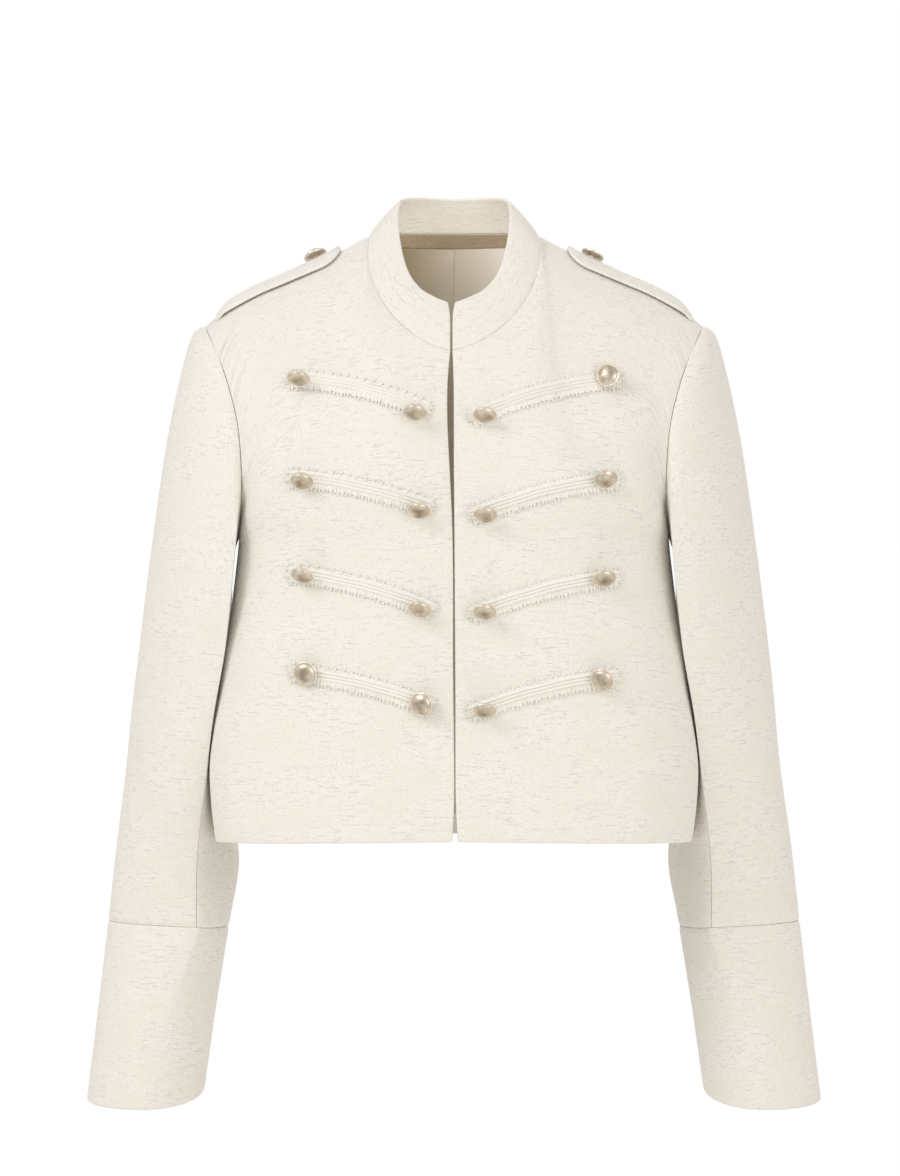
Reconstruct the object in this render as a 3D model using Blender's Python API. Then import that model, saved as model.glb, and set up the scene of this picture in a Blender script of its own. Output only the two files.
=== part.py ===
"""Tweed jacket: a short jacket with a stand collar, edge-to-edge fronts, two-piece sleeves with deep cuffs,
eight frayed braid trims, two shoulder straps and eighteen shank buttons. It is hollow, as when it is worn.

The front faces -Y, the wearer's left is +X and +Z is up. The origin is the middle of the neck base, where
the wearer's neck and shoulders hold the jacket. Sizes in this file are millimetres, and solid() turns them
to metres.
"""

import math

import bmesh
import bpy
import numpy as np
from mathutils import Vector
from mathutils.bvhtree import BVHTree

for old in list(bpy.data.objects):
    bpy.data.objects.remove(old)

METRES = 0.001

# Cloth
WALL = 1.8
COLLAR_WALL = 2.6
LINING_WALL = 1.0
SEAM_GAP = 0.3
RIDGE_GAP = 1.2
LAY_GAP = 0.6

# Grid steps of the cut pieces, counted along each seam so that both sides of it share their corners
NECK_FRONT_STEPS = 6
NECK_BACK_STEPS = 4
SHOULDER_STEPS = 6
BODY_STEPS = 8
ARMHOLE_STEPS = 20
FRONT_SPREAD = 1.35
BACK_SPREAD = 1.15
RELAX_BELOW_ARMPIT = 3
RELAX_PASSES = 3

# Places well inside the body and well outside it, to tell which way a sheet faces and to look at it from
INSIDE_FRONT = (60, 0, -250)
INSIDE_BACK = (0, 0, -250)
FAR_IN_FRONT = -400
FAR_ABOVE = 200
BESIDE = 0.5


def table(names, *rows):
    """Named columns of a short table, a row for each section."""
    return dict(zip(names.split(), np.array(rows, float).T))


# Body: its outline at five heights and the hem, from above. The sides are widest a little to the front.
ARMPIT_HEIGHT = -232
HEM_FRONT = -468
HEM_SIDE = -472
SIDE_SEAM_TURN = 1.14
FRONT_SQUARENESS = 2.6
BACK_SQUARENESS = 2.1
BODY = table(
    "height half_width widest_y front_y back_y",
    (-474, 188.5, -30, -115, 108),
    (-455, 191, -30, -116, 109),
    (-412, 193.5, -30, -118, 112),
    (-352, 186, -28, -120, 115),
    (-288, 179, -25, -121, 117),
    (-232, 172, -20, -119, 116),
)

# Centre front: how far it stands forward above the armpit, and the opening between its two edges
CENTRE_FRONT = table(
    "height forward_y",
    (-232, -119),
    (-190, -115),
    (-150, -107),
    (-115, -96),
    (-85, -82),
)
OPENING = table(
    "height shift half_gap",
    (-474, 0.8, 3.0),
    (-468, 0.8, 2.2),
    (-461, 0.8, 1.2),
    (-450, 0.8, 0.9),
    (-340, 0.2, 0.8),
    (-210, -0.8, 0.9),
    (-175, -1.8, 1.5),
    (-140, -2.6, 2.3),
    (-110, -2.6, 2.2),
    (-85, -2.0, 0.8),
)
CENTRE_BACK = table(
    "height back_y",
    (-232, 116),
    (-170, 112.5),
    (-110, 104),
    (-60, 92),
    (-20, 77.5),
    (19.5, 62),
)

# Neck: the seam loop and the collar's upper edge are ellipses from above; turn 0 is the centre back
NECK_POINT_TURN = 76
SEAM_LOOP = {"half_width": 70, "middle_y": -10, "half_depth": 72}
EDGE_LOOP = {"half_width": 45, "middle_y": -7, "half_depth": 54}
NECK = table(
    "turn seam_z edge_z",
    (0, 19.5, 46),
    (30, 19, 46),
    (60, 16, 44),
    (76, 12, 40),
    (90, 4, 30),
    (100, -8, 18),
    (111, -25, 3),
    (120, -36, -10),
    (132, -51, -23),
    (145, -64, -33),
    (163, -78, -41),
    (180, -85, -44.5),
)
NECK_SLANT = 0.7
COLLAR_ROWS = 4
COLLAR_BOW = 1.5
COLLAR_BOW_RISE = 0.4
CORNER_BACK = 1.8
CORNER_DROP = 1.0
CORNER_BACK_BELOW = 0.3

# Shoulder seam between the neck point and the shoulder tip
SHOULDER = table(
    "x y z",
    (98, 7, -3),
    (132, 7, -19),
    (167, 6.5, -35),
    (188, 6, -49),
)

# Sleeve: each section passes through four places of the tube, the outer line, the front seam, the inner line
# and the back seam. Section 0 is the armhole, 10 the cuff seam and 12 the open end.
SLEEVE = table(
    "section outer_x outer_y outer_z front_x front_y front_z "
    "inner_x inner_y inner_z back_x back_y back_z roll ridge",
    (0, 199, 6, -60, 166, -75, -183, 172, 6, -232, 176, 68, -170, 2.0, 0.0),
    (1, 208, 6, -66, 167, -79, -197, 175, 6, -239, 184, 73, -184, 1.8, 0.1),
    (2, 214, 6, -82, 168, -82, -212, 177, 7, -248, 190, 77, -202, 1.6, 0.2),
    (3, 221, 6, -110, 169, -84, -229, 178, 8, -261, 195, 80, -224, 1.4, 0.3),
    (4, 230, 7, -155, 171, -84, -251, 178, 10, -279, 199, 84, -251, 1.2, 0.4),
    (5, 239, 9, -215, 174, -80, -281, 180, 14, -301, 204, 88, -286, 1.0, 0.5),
    (6, 248.5, 15, -285, 179, -70, -322, 184, 20, -333, 210, 92, -325, 1.0, 0.6),
    (7, 257, 28, -350, 187, -54, -372, 189, 30, -376, 216, 97, -372, 1.0, 0.6),
    (8, 265, 42, -416, 196, -36, -425, 185, 46, -428, 222, 103, -424, 1.0, 0.6),
    (9, 274, 54, -482, 204, -12, -486, 174, 58, -486, 229, 108, -483, 1.0, 0.6),
    (10, 281, 62, -540, 206, 7, -543, 183, 66, -545, 236, 113, -543, 1.0, 0.3),
    (11, 290, 70, -613, 236, 18, -617, 194, 74, -611, 244, 120, -607, 1.0, 0.0),
    (12, 300, 80, -687, 250, 33, -692, 204, 82, -680, 253, 126, -675, 1.0, 0.0),
)
SLEEVE_ROWS = (0, 0.5, 1, 1.5, 2, 3, 4, 5, 6, 7, 8, 9, 10)
CUFF_ROWS = (10, 10.5, 11, 11.5, 12)
LEVEL_FROM = 10
ARMHOLE_LEAN = 0.2
BODY_CLEARANCE = 2.5
CLEARANCE_FADE = 20
CLEARANCE_BELOW_HEM = 25
CUFF_WALL = 2.4

# Braid trims: both ends of each on the front, seen from the front; the middle bows upward
TRIMS = table(
    "side row outer_x outer_z inner_x inner_z bow",
    (-1, 1, 128.5, -107, 20, -133, 5.5),
    (-1, 2, 127.5, -185, 18, -209, 4.5),
    (-1, 3, 127.5, -259, 16, -288, 5),
    (-1, 4, 125.5, -336, 16, -363, 4.5),
    (1, 1, 130, -107, 13, -139, 5.5),
    (1, 2, 127.5, -186.5, 13, -215, 4.5),
    (1, 3, 127, -262, 12.5, -291.5, 4.5),
    (1, 4, 126, -339.5, 12.5, -367.5, 5),
)
BRAID_HALF_WIDTH = 4.4
RIB_SPACING = 2.6
RIB_CREST = 2.1
RIB_VALLEY = 1.3
BRAID_EDGE = 0.9
STRANDS_A_SIDE = 10
UPPER_FRINGE = 4.6
LOWER_FRINGE = 6.4
STRAND_TIP = 0.45
STRAND_UNEVEN = 0.18
STRAND_LEAN = 0.012
STRAND_BEATS = (2.4, 1.7)
STRAND_LOW = 0.1
STRAND_HIGH = 0.68
LEAD_STEP = 0.01
FRONT_SPAN = 6

# Buttons: a domed head on a shank. Each hangs its own way: droop turns it down and swing to -X, while sag and
# aside carry its middle down the cloth and away from the centre front.
BUTTON_RADIUS = 9.5
BUTTON_DOME = 3.9
BUTTON_RIM = 1.3
DOME_SHOULDER_HEIGHT = 2.9
DOME_SHOULDER_RADIUS = 5.4
BUTTON_BACK_RADIUS = 8.9
BUTTON_BACK_SLOPE = 0.5
SHANK_RADIUS = 1.9
SHANK_FOOT_RADIUS = 1.5
LEAST_SHANK = 3.2
BUTTON_SIDES = 10
BUTTON_INSET = 9.5
BUTTONS = table(
    "side row at_outer droop swing sag aside",
    (-1, 1, 1, 60, 0, 6.8, -1.2),
    (-1, 2, 1, 51, -4, 5.5, -4.2),
    (-1, 3, 1, 52, 0, 2.4, -6.0),
    (-1, 4, 1, 14, 0, 0.8, -3.1),
    (-1, 1, 0, 56, 12, 12.0, 2.4),
    (-1, 2, 0, 51, 14, 6.6, 0.5),
    (-1, 3, 0, 51, 12, 4.2, 0.6),
    (-1, 4, 0, 12, 24, 1.8, 0.0),
    (1, 1, 0, 59, -4, 7.5, 3.4),
    (1, 2, 0, 53, 0, 3.8, 3.0),
    (1, 3, 0, 53, 0, 2.3, 1.5),
    (1, 4, 0, 55, 4, 2.0, 1.6),
    (1, 1, 1, 12, 28, 1.4, -2.9),
    (1, 2, 1, 46, 8, 1.7, -4.2),
    (1, 3, 1, 45, 12, 1.6, -6.0),
    (1, 4, 1, 26, 34, 2.4, -5.8),
)

# Shoulder straps, from a rounded end near the neck to the armhole
STRAP_NECK_X = 90
STRAP_TIP_X = 189
STRAP_WALL = 2.4
STRAP_LAY = 1.9
STRAP_RIDGE_Y = 7.3
STRAP_FRONT = -18
STRAP_BACK = 23
STRAP_POINT = 16
STRAP_LEAST_WIDTH = 0.22
STRAP_STEPS = 9
STRAP_SPAN = 3
STRAP_BUTTON_Y = 9
STRAP_BUTTON_X = 110

# Inside of the back
INSIDE_GAP = 0.8
FACING_DEPTH = 11.5
LINING_HEM = 16
PLEAT_HEIGHT = 2


def smooth(at, knots, values):
    """A curve through the knots: a cubic between neighbours, which has the mean slope of both sides at each."""
    at = np.asarray(at, float)
    values = np.asarray(values, float)
    slopes = np.gradient(values, knots)
    left = np.clip(np.searchsorted(knots, at, side="right") - 1, 0, len(knots) - 2)
    span = knots[left + 1] - knots[left]
    t = (at - knots[left]) / span
    start = (2 * t**3 - 3 * t**2 + 1) * values[left] + (t**3 - 2 * t**2 + t) * span * slopes[left]
    end = (3 * t**2 - 2 * t**3) * values[left + 1] + (t**3 - t**2) * span * slopes[left + 1]
    return start + end


def points(x, y, z):
    """Stacks three arrays into points."""
    return np.stack(np.broadcast_arrays(x, y, z), axis=-1).astype(float)


def unit(vectors):
    return vectors / np.linalg.norm(vectors, axis=-1, keepdims=True)


def body_outline(height, turn, edge_x):
    """The body from above: turn 0 is the centre front, 1 the widest place and 2 the centre back."""
    half_width = smooth(height, BODY["height"], BODY["half_width"])
    widest_y = smooth(height, BODY["height"], BODY["widest_y"])
    front_y = smooth(height, BODY["height"], BODY["front_y"])
    back_y = smooth(height, BODY["height"], BODY["back_y"])
    across = np.abs(np.sin(turn * math.pi / 2))
    along = np.abs(np.cos(turn * math.pi / 2))
    squareness = np.where(turn < 1, FRONT_SQUARENESS, BACK_SQUARENESS)
    reach = np.where(turn < 1, front_y - widest_y, back_y - widest_y)
    x = edge_x + (half_width - edge_x) * across ** (2 / squareness)
    y = widest_y + reach * along ** (2 / squareness)
    return points(x, y, height)


def neck_loop(turn, loop, heights):
    """A loop round the neck: an ellipse from above, at the heights of its column in the neck table."""
    angle = np.radians(turn)
    x = loop["half_width"] * np.sin(angle)
    y = loop["middle_y"] + loop["half_depth"] * np.cos(angle)
    return points(x, y, smooth(turn, NECK["turn"], NECK[heights]))


def neck_inward(turn):
    """At the neck seam the walls thicken towards the neck and a little downwards."""
    angle = np.radians(turn)
    return unit(points(-np.sin(angle), -np.cos(angle), -NECK_SLANT))


def shoulder_seam(steps):
    """Points from the neck point to the shoulder tip."""
    start = neck_loop(np.array(NECK_POINT_TURN), SEAM_LOOP, "seam_z")
    tip = sleeve_section(0, np.array([0.0]))[0]
    middle = points(SHOULDER["x"], SHOULDER["y"], SHOULDER["z"])
    seam = np.vstack([start, middle, tip])
    x = np.linspace(start[0], tip[0], steps + 1)
    return points(x, smooth(x, seam[:, 0], seam[:, 1]), smooth(x, seam[:, 0], seam[:, 2]))


def sleeve_section(section, angle):
    """One section of the sleeve: quarter curves from the outer line (0) by the front seam (90), the inner line
    (180) and the back seam (270) round to the outer line. A ridge straightens the cloth behind the front seam.
    Below the cuff seam the sections become level: each is then a cut across the tube on one plane."""
    place = {name: smooth(section, SLEEVE["section"], column) for name, column in SLEEVE.items()}
    quarter = (np.floor(angle / 90) % 4).astype(int)
    part = (angle % 90) / 90
    sine = np.sin(part * math.pi / 2)
    cosine = np.cos(part * math.pi / 2)
    roll = place["roll"]
    round_in = 2 - roll if roll > 1 else 1.0
    curl = round_in * sine + (1 - round_in) * (1 - cosine)
    ridge = place["ridge"]
    level = np.clip(section - LEVEL_FROM, 0, 1)

    def between(axis, start, end, share):
        return place[start + axis] + (place[end + axis] - place[start + axis]) * share

    front_x = between("_x", "front", "outer", cosine**roll)
    front_y = between("_y", "outer", "front", sine)
    front_z = between("_z", "front", "outer", (1 - level) * cosine + level * (1 - sine))
    inner_x = between("_x", "front", "inner", (1 - ridge) * curl + ridge * part)
    inner_y = between("_y", "front", "inner", (1 - ridge) * (1 - cosine) + ridge * part)
    inner_z = between("_z", "front", "inner", (1 - level) * sine + level * (1 - cosine))
    under_x = between("_x", "back", "inner", cosine)
    under_y = between("_y", "inner", "back", sine)
    under_z = between("_z", "back", "inner", (1 - level) * cosine + level * (1 - sine))
    back_x = between("_x", "back", "outer", sine**roll)
    back_y = between("_y", "outer", "back", cosine)
    back_z = between("_z", "back", "outer", (1 - level) * sine + level * (1 - cosine))
    x = np.choose(quarter, [front_x, inner_x, under_x, back_x])
    y = np.choose(quarter, [front_y, inner_y, under_y, back_y])
    z = np.choose(quarter, [front_z, inner_z, under_z, back_z])
    return points(x, y, z)


def armhole(angle):
    """The seam where the sleeve joins the body."""
    return sleeve_section(0, angle)


def armhole_inward(angle):
    """At the armhole the walls thicken towards its middle."""
    loop = armhole(angle)
    middle = armhole(np.array([0.0, 90.0, 180.0, 270.0])).mean(axis=0)
    toward = middle - loop
    toward[:, 0] *= ARMHOLE_LEAN
    return unit(toward)


def patch(bottom, top, start, end):
    """A sheet between four edges: each pair of edges blended across, less the blend of the four corners."""
    u = np.linspace(0, 1, len(bottom))[None, :, None]
    v = np.linspace(0, 1, len(start))[:, None, None]
    ease = 0.5 * v + 0.5 * (3 * v**2 - 2 * v**3)
    rows = (1 - ease) * bottom[None] + ease * top[None]
    columns = (1 - u) * start[:, None] + u * end[:, None]
    low = (1 - u) * bottom[0] + u * bottom[-1]
    high = (1 - u) * top[0] + u * top[-1]
    return rows + columns - (1 - ease) * low - ease * high


def relax(grid, first_row):
    """Evens out the inside of a sheet above a row; its edges stay."""
    for _ in range(RELAX_PASSES):
        mean = (grid[:-2, 1:-1] + grid[2:, 1:-1] + grid[1:-1, :-2] + grid[1:-1, 2:]) / 4
        inside = grid[1:-1, 1:-1]
        inside[first_row:] += 0.5 * (mean - inside)[first_row:]
    return grid


def half_gap(height, side):
    """Where the centre front edge of a side lies, measured from the middle line towards that side."""
    gap = smooth(height, OPENING["height"], OPENING["half_gap"])
    return gap + side * smooth(height, OPENING["height"], OPENING["shift"])


def body_heights(hem):
    """Heights of the body's rows from the hem line up to the armpit."""
    share = np.linspace(0, 1, BODY_STEPS + 1)[:, None]
    return hem[None] * (1 - share) + ARMPIT_HEIGHT * share


def front_sheet(side):
    """A front: rows from the hem to the neck and shoulder, columns from the centre front to the side."""
    columns = NECK_FRONT_STEPS + SHOULDER_STEPS
    share = np.linspace(0, 1, columns + 1)
    turn = SIDE_SEAM_TURN * share**FRONT_SPREAD
    height = body_heights(HEM_FRONT + (HEM_SIDE - HEM_FRONT) * share)
    lower = body_outline(height, np.broadcast_to(turn, height.shape), half_gap(height, side))
    up = np.linspace(ARMPIT_HEIGHT, NECK["seam_z"][-1], ARMHOLE_STEPS // 2 + 1)
    centre = points(half_gap(up, side), smooth(up, CENTRE_FRONT["height"], CENTRE_FRONT["forward_y"]), up)
    neck_turn = np.linspace(180, NECK_POINT_TURN, NECK_FRONT_STEPS + 1)
    neck = neck_loop(neck_turn, SEAM_LOOP, "seam_z")
    neck[:, 0] += (centre[-1, 0] - neck[0, 0]) * (1 - np.linspace(0, 1, len(neck))) ** 2
    top = np.vstack([neck, shoulder_seam(SHOULDER_STEPS)[1:]])
    side_edge = armhole(np.linspace(180, 0, ARMHOLE_STEPS // 2 + 1))
    upper = patch(lower[-1], top, centre, side_edge)
    grid = np.vstack([lower, upper[1:]])
    relax(grid, BODY_STEPS - RELAX_BELOW_ARMPIT)
    inward = inward_normals(grid, np.array(INSIDE_FRONT))
    inward[-1, : NECK_FRONT_STEPS + 1] = neck_inward(neck_turn)
    share_shoulder(inward)
    inward[BODY_STEPS:, -1] = armhole_inward(np.linspace(180, 0, ARMHOLE_STEPS // 2 + 1))
    return grid, inward


def back_half():
    """Half of the back: rows from the hem to the neck and shoulder, columns from the centre back to the side."""
    columns = NECK_BACK_STEPS + SHOULDER_STEPS
    share = np.linspace(0, 1, columns + 1)
    turn = 2 - (2 - SIDE_SEAM_TURN) * share**BACK_SPREAD
    height = body_heights(np.full(columns + 1, float(HEM_SIDE)))
    lower = body_outline(height, np.broadcast_to(turn, height.shape), 0.0)
    up = np.linspace(ARMPIT_HEIGHT, NECK["seam_z"][0], ARMHOLE_STEPS // 2 + 1)
    centre = points(0.0, smooth(up, CENTRE_BACK["height"], CENTRE_BACK["back_y"]), up)
    neck_turn = np.linspace(0, NECK_POINT_TURN, NECK_BACK_STEPS + 1)
    top = np.vstack([neck_loop(neck_turn, SEAM_LOOP, "seam_z"), shoulder_seam(SHOULDER_STEPS)[1:]])
    side_edge = armhole(np.linspace(180, 360, ARMHOLE_STEPS // 2 + 1))
    upper = patch(lower[-1], top, centre, side_edge)
    grid = np.vstack([lower, upper[1:]])
    return grid, neck_turn


def back_sheet():
    """The whole back, in one piece from the right side seam to the left."""
    half, neck_turn = back_half()
    grid = np.concatenate([half[:, :0:-1] * (-1, 1, 1), half], axis=1)
    relax(grid, BODY_STEPS - RELAX_BELOW_ARMPIT)
    inward = inward_normals(grid, np.array(INSIDE_BACK))
    middle = NECK_BACK_STEPS + SHOULDER_STEPS
    left = inward[:, middle:]
    left[-1, : NECK_BACK_STEPS + 1] = neck_inward(neck_turn)
    share_shoulder(left)
    left[BODY_STEPS:, -1] = armhole_inward(np.linspace(180, 360, ARMHOLE_STEPS // 2 + 1))
    inward[:, :middle] = left[:, :0:-1] * (-1, 1, 1)
    return grid, inward


def share_shoulder(inward):
    """Along the shoulder seam the walls of front and back thicken squarely down from the seam."""
    seam = shoulder_seam(SHOULDER_STEPS)
    run = np.gradient(seam, axis=0)
    inward[-1, -SHOULDER_STEPS:] = unit(points(run[:, 2], 0, -run[:, 0]))[1:]


def slope(grid, axis):
    """The way a sheet runs at each point: halfway between its step before and its step after."""
    steps = unit(np.diff(grid, axis=axis))
    first = np.take(steps, [0], axis=axis)
    last = np.take(steps, [-1], axis=axis)
    return np.concatenate([first, steps], axis=axis) + np.concatenate([steps, last], axis=axis)


def inward_normals(grid, inside):
    """Unit vectors square to a sheet, on the side of an inner place."""
    normal = unit(np.cross(slope(grid, 1), slope(grid, 0)))
    facing = ((inside - grid) * normal).sum()
    return normal if facing > 0 else -normal


def part_edge(grid, edge, neighbour, gap):
    """Draws one edge of a sheet back by half the gap of its seam."""
    step = grid[neighbour] - grid[edge]
    grid[edge] += unit(step) * gap / 2


EDGES = {
    "hem": (np.s_[0], np.s_[1]),
    "top": (np.s_[-1], np.s_[-2]),
    "first": (np.s_[:, 0], np.s_[:, 1]),
    "last": (np.s_[:, -1], np.s_[:, -2]),
}


def facets(rows, columns, closed=False):
    """Triangles of a sheet's outer points. Every skin is split along the same diagonals."""
    index = np.arange(rows * columns).reshape(rows, columns)
    if closed:
        index = np.concatenate([index, index[:, :1]], axis=1)
    quads = np.stack([index[:-1, :-1], index[:-1, 1:], index[1:, 1:], index[1:, :-1]], axis=-1).reshape(-1, 4)
    return np.concatenate([quads[:, [0, 1, 2]], quads[:, [0, 2, 3]]])


def wall_faces(rows, columns, closed):
    """Faces of a wall whose outer points come first and whose inner points follow."""
    index = np.arange(rows * columns).reshape(rows, columns)
    if closed:
        index = np.concatenate([index, index[:, :1]], axis=1)
    inner = index + rows * columns
    outer_facets = facets(rows, columns, closed)
    faces = outer_facets.tolist() + (outer_facets[:, ::-1] + rows * columns).tolist()
    rims = [(index[0], inner[0], 1), (index[-1], inner[-1], -1)]
    if not closed:
        rims += [(index[:, 0], inner[:, 0], -1), (index[:, -1], inner[:, -1], 1)]
    for outer, inward, way in rims:
        rim = np.stack([outer[:-1], inward[:-1], inward[1:], outer[1:]], axis=-1)
        faces += rim[:, ::way].tolist()
    return faces


def material(name, colour, roughness, metallic=0.0):
    made = bpy.data.materials.new(name)
    made.use_nodes = True
    shader = made.node_tree.nodes["Principled BSDF"]
    shader.inputs["Base Color"].default_value = (*colour, 1)
    shader.inputs["Roughness"].default_value = roughness
    shader.inputs["Metallic"].default_value = metallic
    return made


def solid(name, corners, faces, finish, sharp=60):
    """One closed body from points in millimetres."""
    mesh = bpy.data.meshes.new(name)
    mesh.from_pydata((np.asarray(corners).reshape(-1, 3) * METRES).tolist(), [], faces)
    tidy = bmesh.new()
    tidy.from_mesh(mesh)
    bmesh.ops.recalc_face_normals(tidy, faces=tidy.faces)
    tidy.to_mesh(mesh)
    tidy.free()
    mesh.shade_smooth()
    mesh.set_sharp_from_angle(angle=math.radians(sharp))
    colour, roughness, metallic = finish
    mesh.materials.append(material(name, colour, roughness, metallic))
    made = bpy.data.objects.new(name, mesh)
    bpy.context.collection.objects.link(made)
    return made


def wall(name, outer, inward, thickness, finish, closed=False):
    """A cloth wall: a sheet of outer points and the same sheet moved inward."""
    faces = wall_faces(outer.shape[0], outer.shape[1], closed)
    corners = np.concatenate([outer.reshape(-1, 3), (outer + inward * thickness).reshape(-1, 3)])
    return solid(name, corners, faces, finish)


def surface_of(*sheets):
    """The facets of one or more sheets, to lay other pieces on."""
    corners = []
    faces = []
    for sheet in sheets:
        faces += (facets(*sheet.shape[:2]) + len(corners)).tolist()
        corners += sheet.reshape(-1, 3).tolist()
    return BVHTree.FromPolygons(corners, faces)


def touch(surface, start, way):
    """Where a straight line meets a surface. A line that slips through a seam is read again just beside it."""
    for aside in (0, BESIDE, -BESIDE):
        place = surface.ray_cast(Vector(start) + Vector((-aside, aside, 0)), Vector(way))[0]
        if place:
            return np.array(place)
    raise ValueError(f"nothing lies below {start}")


def front_place(surface, x, z):
    return touch(surface, (x, FAR_IN_FRONT, z), (0, 1, 0))


def front_frame(surface, x, z):
    """A place on a front and the direction square out of it, read over a short span."""
    span = FRONT_SPAN
    place = front_place(surface, x, z)
    across = front_place(surface, x + span, z) - front_place(surface, x - span, z)
    up = front_place(surface, x, z + span) - front_place(surface, x, z - span)
    return place, unit(np.cross(across, up))


TWEED = ((0.86, 0.83, 0.77), 0.9, 0.0)
TWEED_TRIM = ((0.9, 0.88, 0.83), 0.9, 0.0)
LINING = ((0.42, 0.35, 0.25), 0.6, 0.0)
METAL = ((0.6, 0.52, 0.4), 0.35, 1.0)


def parted(sheet, *edges, gap=SEAM_GAP):
    grid = sheet.copy()
    for edge in edges:
        part_edge(grid, *EDGES[edge], gap)
    return grid


def make_body():
    """Both fronts and the back, each one piece of tweed."""
    sheets = {}
    back, back_inward = back_sheet()
    for name, side in (("front_right", -1), ("front_left", 1)):
        grid, inward = front_sheet(side)
        # The side seam is shared with the back, so both walls thicken the same way there.
        back_side = back_inward[: BODY_STEPS, 0] if side < 0 else back_inward[: BODY_STEPS, -1]
        mirror = np.array([side, 1, 1])
        both = unit(inward[:BODY_STEPS, -1] + back_side * mirror)
        inward[:BODY_STEPS, -1] = both
        back_side[:] = both * mirror
        sheets[name] = grid * mirror
        wall(name, parted(grid, "last", "top") * mirror, inward * mirror, WALL, TWEED)
    sheets["back"] = back
    wall("back", parted(back, "first", "last", "top"), back_inward, WALL, TWEED)
    return sheets, back, back_inward


def make_collar():
    """Stand collar, open at the centre front, with rounded front corners."""
    turn = np.concatenate(
        [
            np.linspace(180, NECK_POINT_TURN, NECK_FRONT_STEPS + 1),
            np.linspace(NECK_POINT_TURN, 0, NECK_BACK_STEPS + 1)[1:],
        ]
    )
    seam = neck_loop(turn, SEAM_LOOP, "seam_z")
    edge = neck_loop(turn, EDGE_LOOP, "edge_z")
    rise = np.linspace(0, 1, COLLAR_ROWS + 1)[:, None, None]
    half = seam[None] * (1 - rise) + edge[None] * rise
    bow = np.sin(rise * math.pi) * COLLAR_BOW
    half += bow * unit(points(np.sin(np.radians(turn)), np.cos(np.radians(turn)), COLLAR_BOW_RISE))[None]
    opening = {side: half_gap(np.array(float(NECK["seam_z"][-1])), side) for side in (-1, 1)}
    sides = []
    for side in (-1, 1):
        sheet = half.copy()
        ease = np.clip(1 - np.arange(len(turn)) / NECK_FRONT_STEPS, 0, 1) ** 2
        sheet[:, :, 0] += opening[side] * ease
        # The front corner is rounded off: its upper points drop and draw back.
        sheet[-1, 0] += (CORNER_BACK, 0, -CORNER_DROP)
        sheet[-2, 0] += (CORNER_BACK_BELOW, 0, 0)
        sides.append(sheet * (side, 1, 1))
    grid = np.concatenate([sides[0], sides[1][:, -2::-1]], axis=1)
    inward = inward_normals(grid, np.array([0.0, EDGE_LOOP["middle_y"], NECK["edge_z"][-1]]))
    both_turns = np.concatenate([turn, turn[-2::-1]])
    mirror = np.ones((len(both_turns), 3))
    mirror[: len(turn), 0] = -1
    inward[0] = neck_inward(both_turns) * mirror
    wall("collar", parted(grid, "hem"), inward, COLLAR_WALL, TWEED)


def clear_of_body(tube):
    """Moves the inner side of a sleeve out to just clear of the body beside it."""
    x, y, z = np.moveaxis(tube, -1, 0)
    half_width = smooth(z, BODY["height"], BODY["half_width"])
    widest_y = smooth(z, BODY["height"], BODY["widest_y"])
    reach = np.where(
        y < widest_y,
        widest_y - smooth(z, BODY["height"], BODY["front_y"]),
        smooth(z, BODY["height"], BODY["back_y"]) - widest_y,
    )
    squareness = np.where(y < widest_y, FRONT_SQUARENESS, BACK_SQUARENESS)
    away = np.clip(np.abs(y - widest_y) / reach, 0, 1)
    body_x = half_width * (1 - away**squareness) ** (1 / squareness)
    below_armpit = np.clip((ARMPIT_HEIGHT - z) / CLEARANCE_FADE, 0, 1)
    beside = (z < ARMPIT_HEIGHT) & (z > HEM_SIDE - CLEARANCE_BELOW_HEM)
    least = body_x + BODY_CLEARANCE * below_armpit
    tube[..., 0] = np.where(beside & (x < least), least, x)
    return tube


def sleeve_tube(sections):
    """The sleeve's outer points, a row for each section, its first column on the outer line."""
    angle = np.linspace(0, 360, ARMHOLE_STEPS + 1)[:-1]
    tube = np.stack([sleeve_section(section, angle) for section in sections])
    tube[..., 0] += SEAM_GAP
    return clear_of_body(tube)


def tube_inward(tube):
    """Unit vectors into a tube, with the first and last columns joined."""
    wrapped = np.concatenate([tube[:, -2:], tube, tube[:, :2]], axis=1)
    middle = tube.mean(axis=1, keepdims=True)
    return inward_normals(wrapped, middle)[:, 2:-2]


def closed_tube(tube):
    return np.concatenate([tube, tube[:, :1]], axis=1)


def make_sleeves():
    """Each sleeve has a top and an under piece, with a seam in front and behind, and a deep cuff."""
    tube = sleeve_tube(SLEEVE_ROWS + CUFF_ROWS[1:])
    inward = tube_inward(tube)
    inward[0] = armhole_inward(np.linspace(0, 360, ARMHOLE_STEPS + 1)[:-1])
    quarter = ARMHOLE_STEPS // 4
    columns = {
        "top": np.arange(-quarter, quarter + 1) % ARMHOLE_STEPS,
        "under": np.arange(quarter, 3 * quarter + 1),
    }
    sleeve = len(SLEEVE_ROWS)
    for name, side in (("right", -1), ("left", 1)):
        mirror = np.array([side, 1, 1])
        for part, places in columns.items():
            grid = parted(parted(tube[:sleeve, places], "top"), "first", "last", gap=RIDGE_GAP)
            wall(f"{part}_sleeve_{name}", grid * mirror, inward[:sleeve, places] * mirror, WALL, TWEED)
        cuff = parted(tube[sleeve - 1 :], "hem")
        wall(f"cuff_{name}", cuff * mirror, inward[sleeve - 1 :] * mirror, CUFF_WALL, TWEED, closed=True)
    return tube


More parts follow.
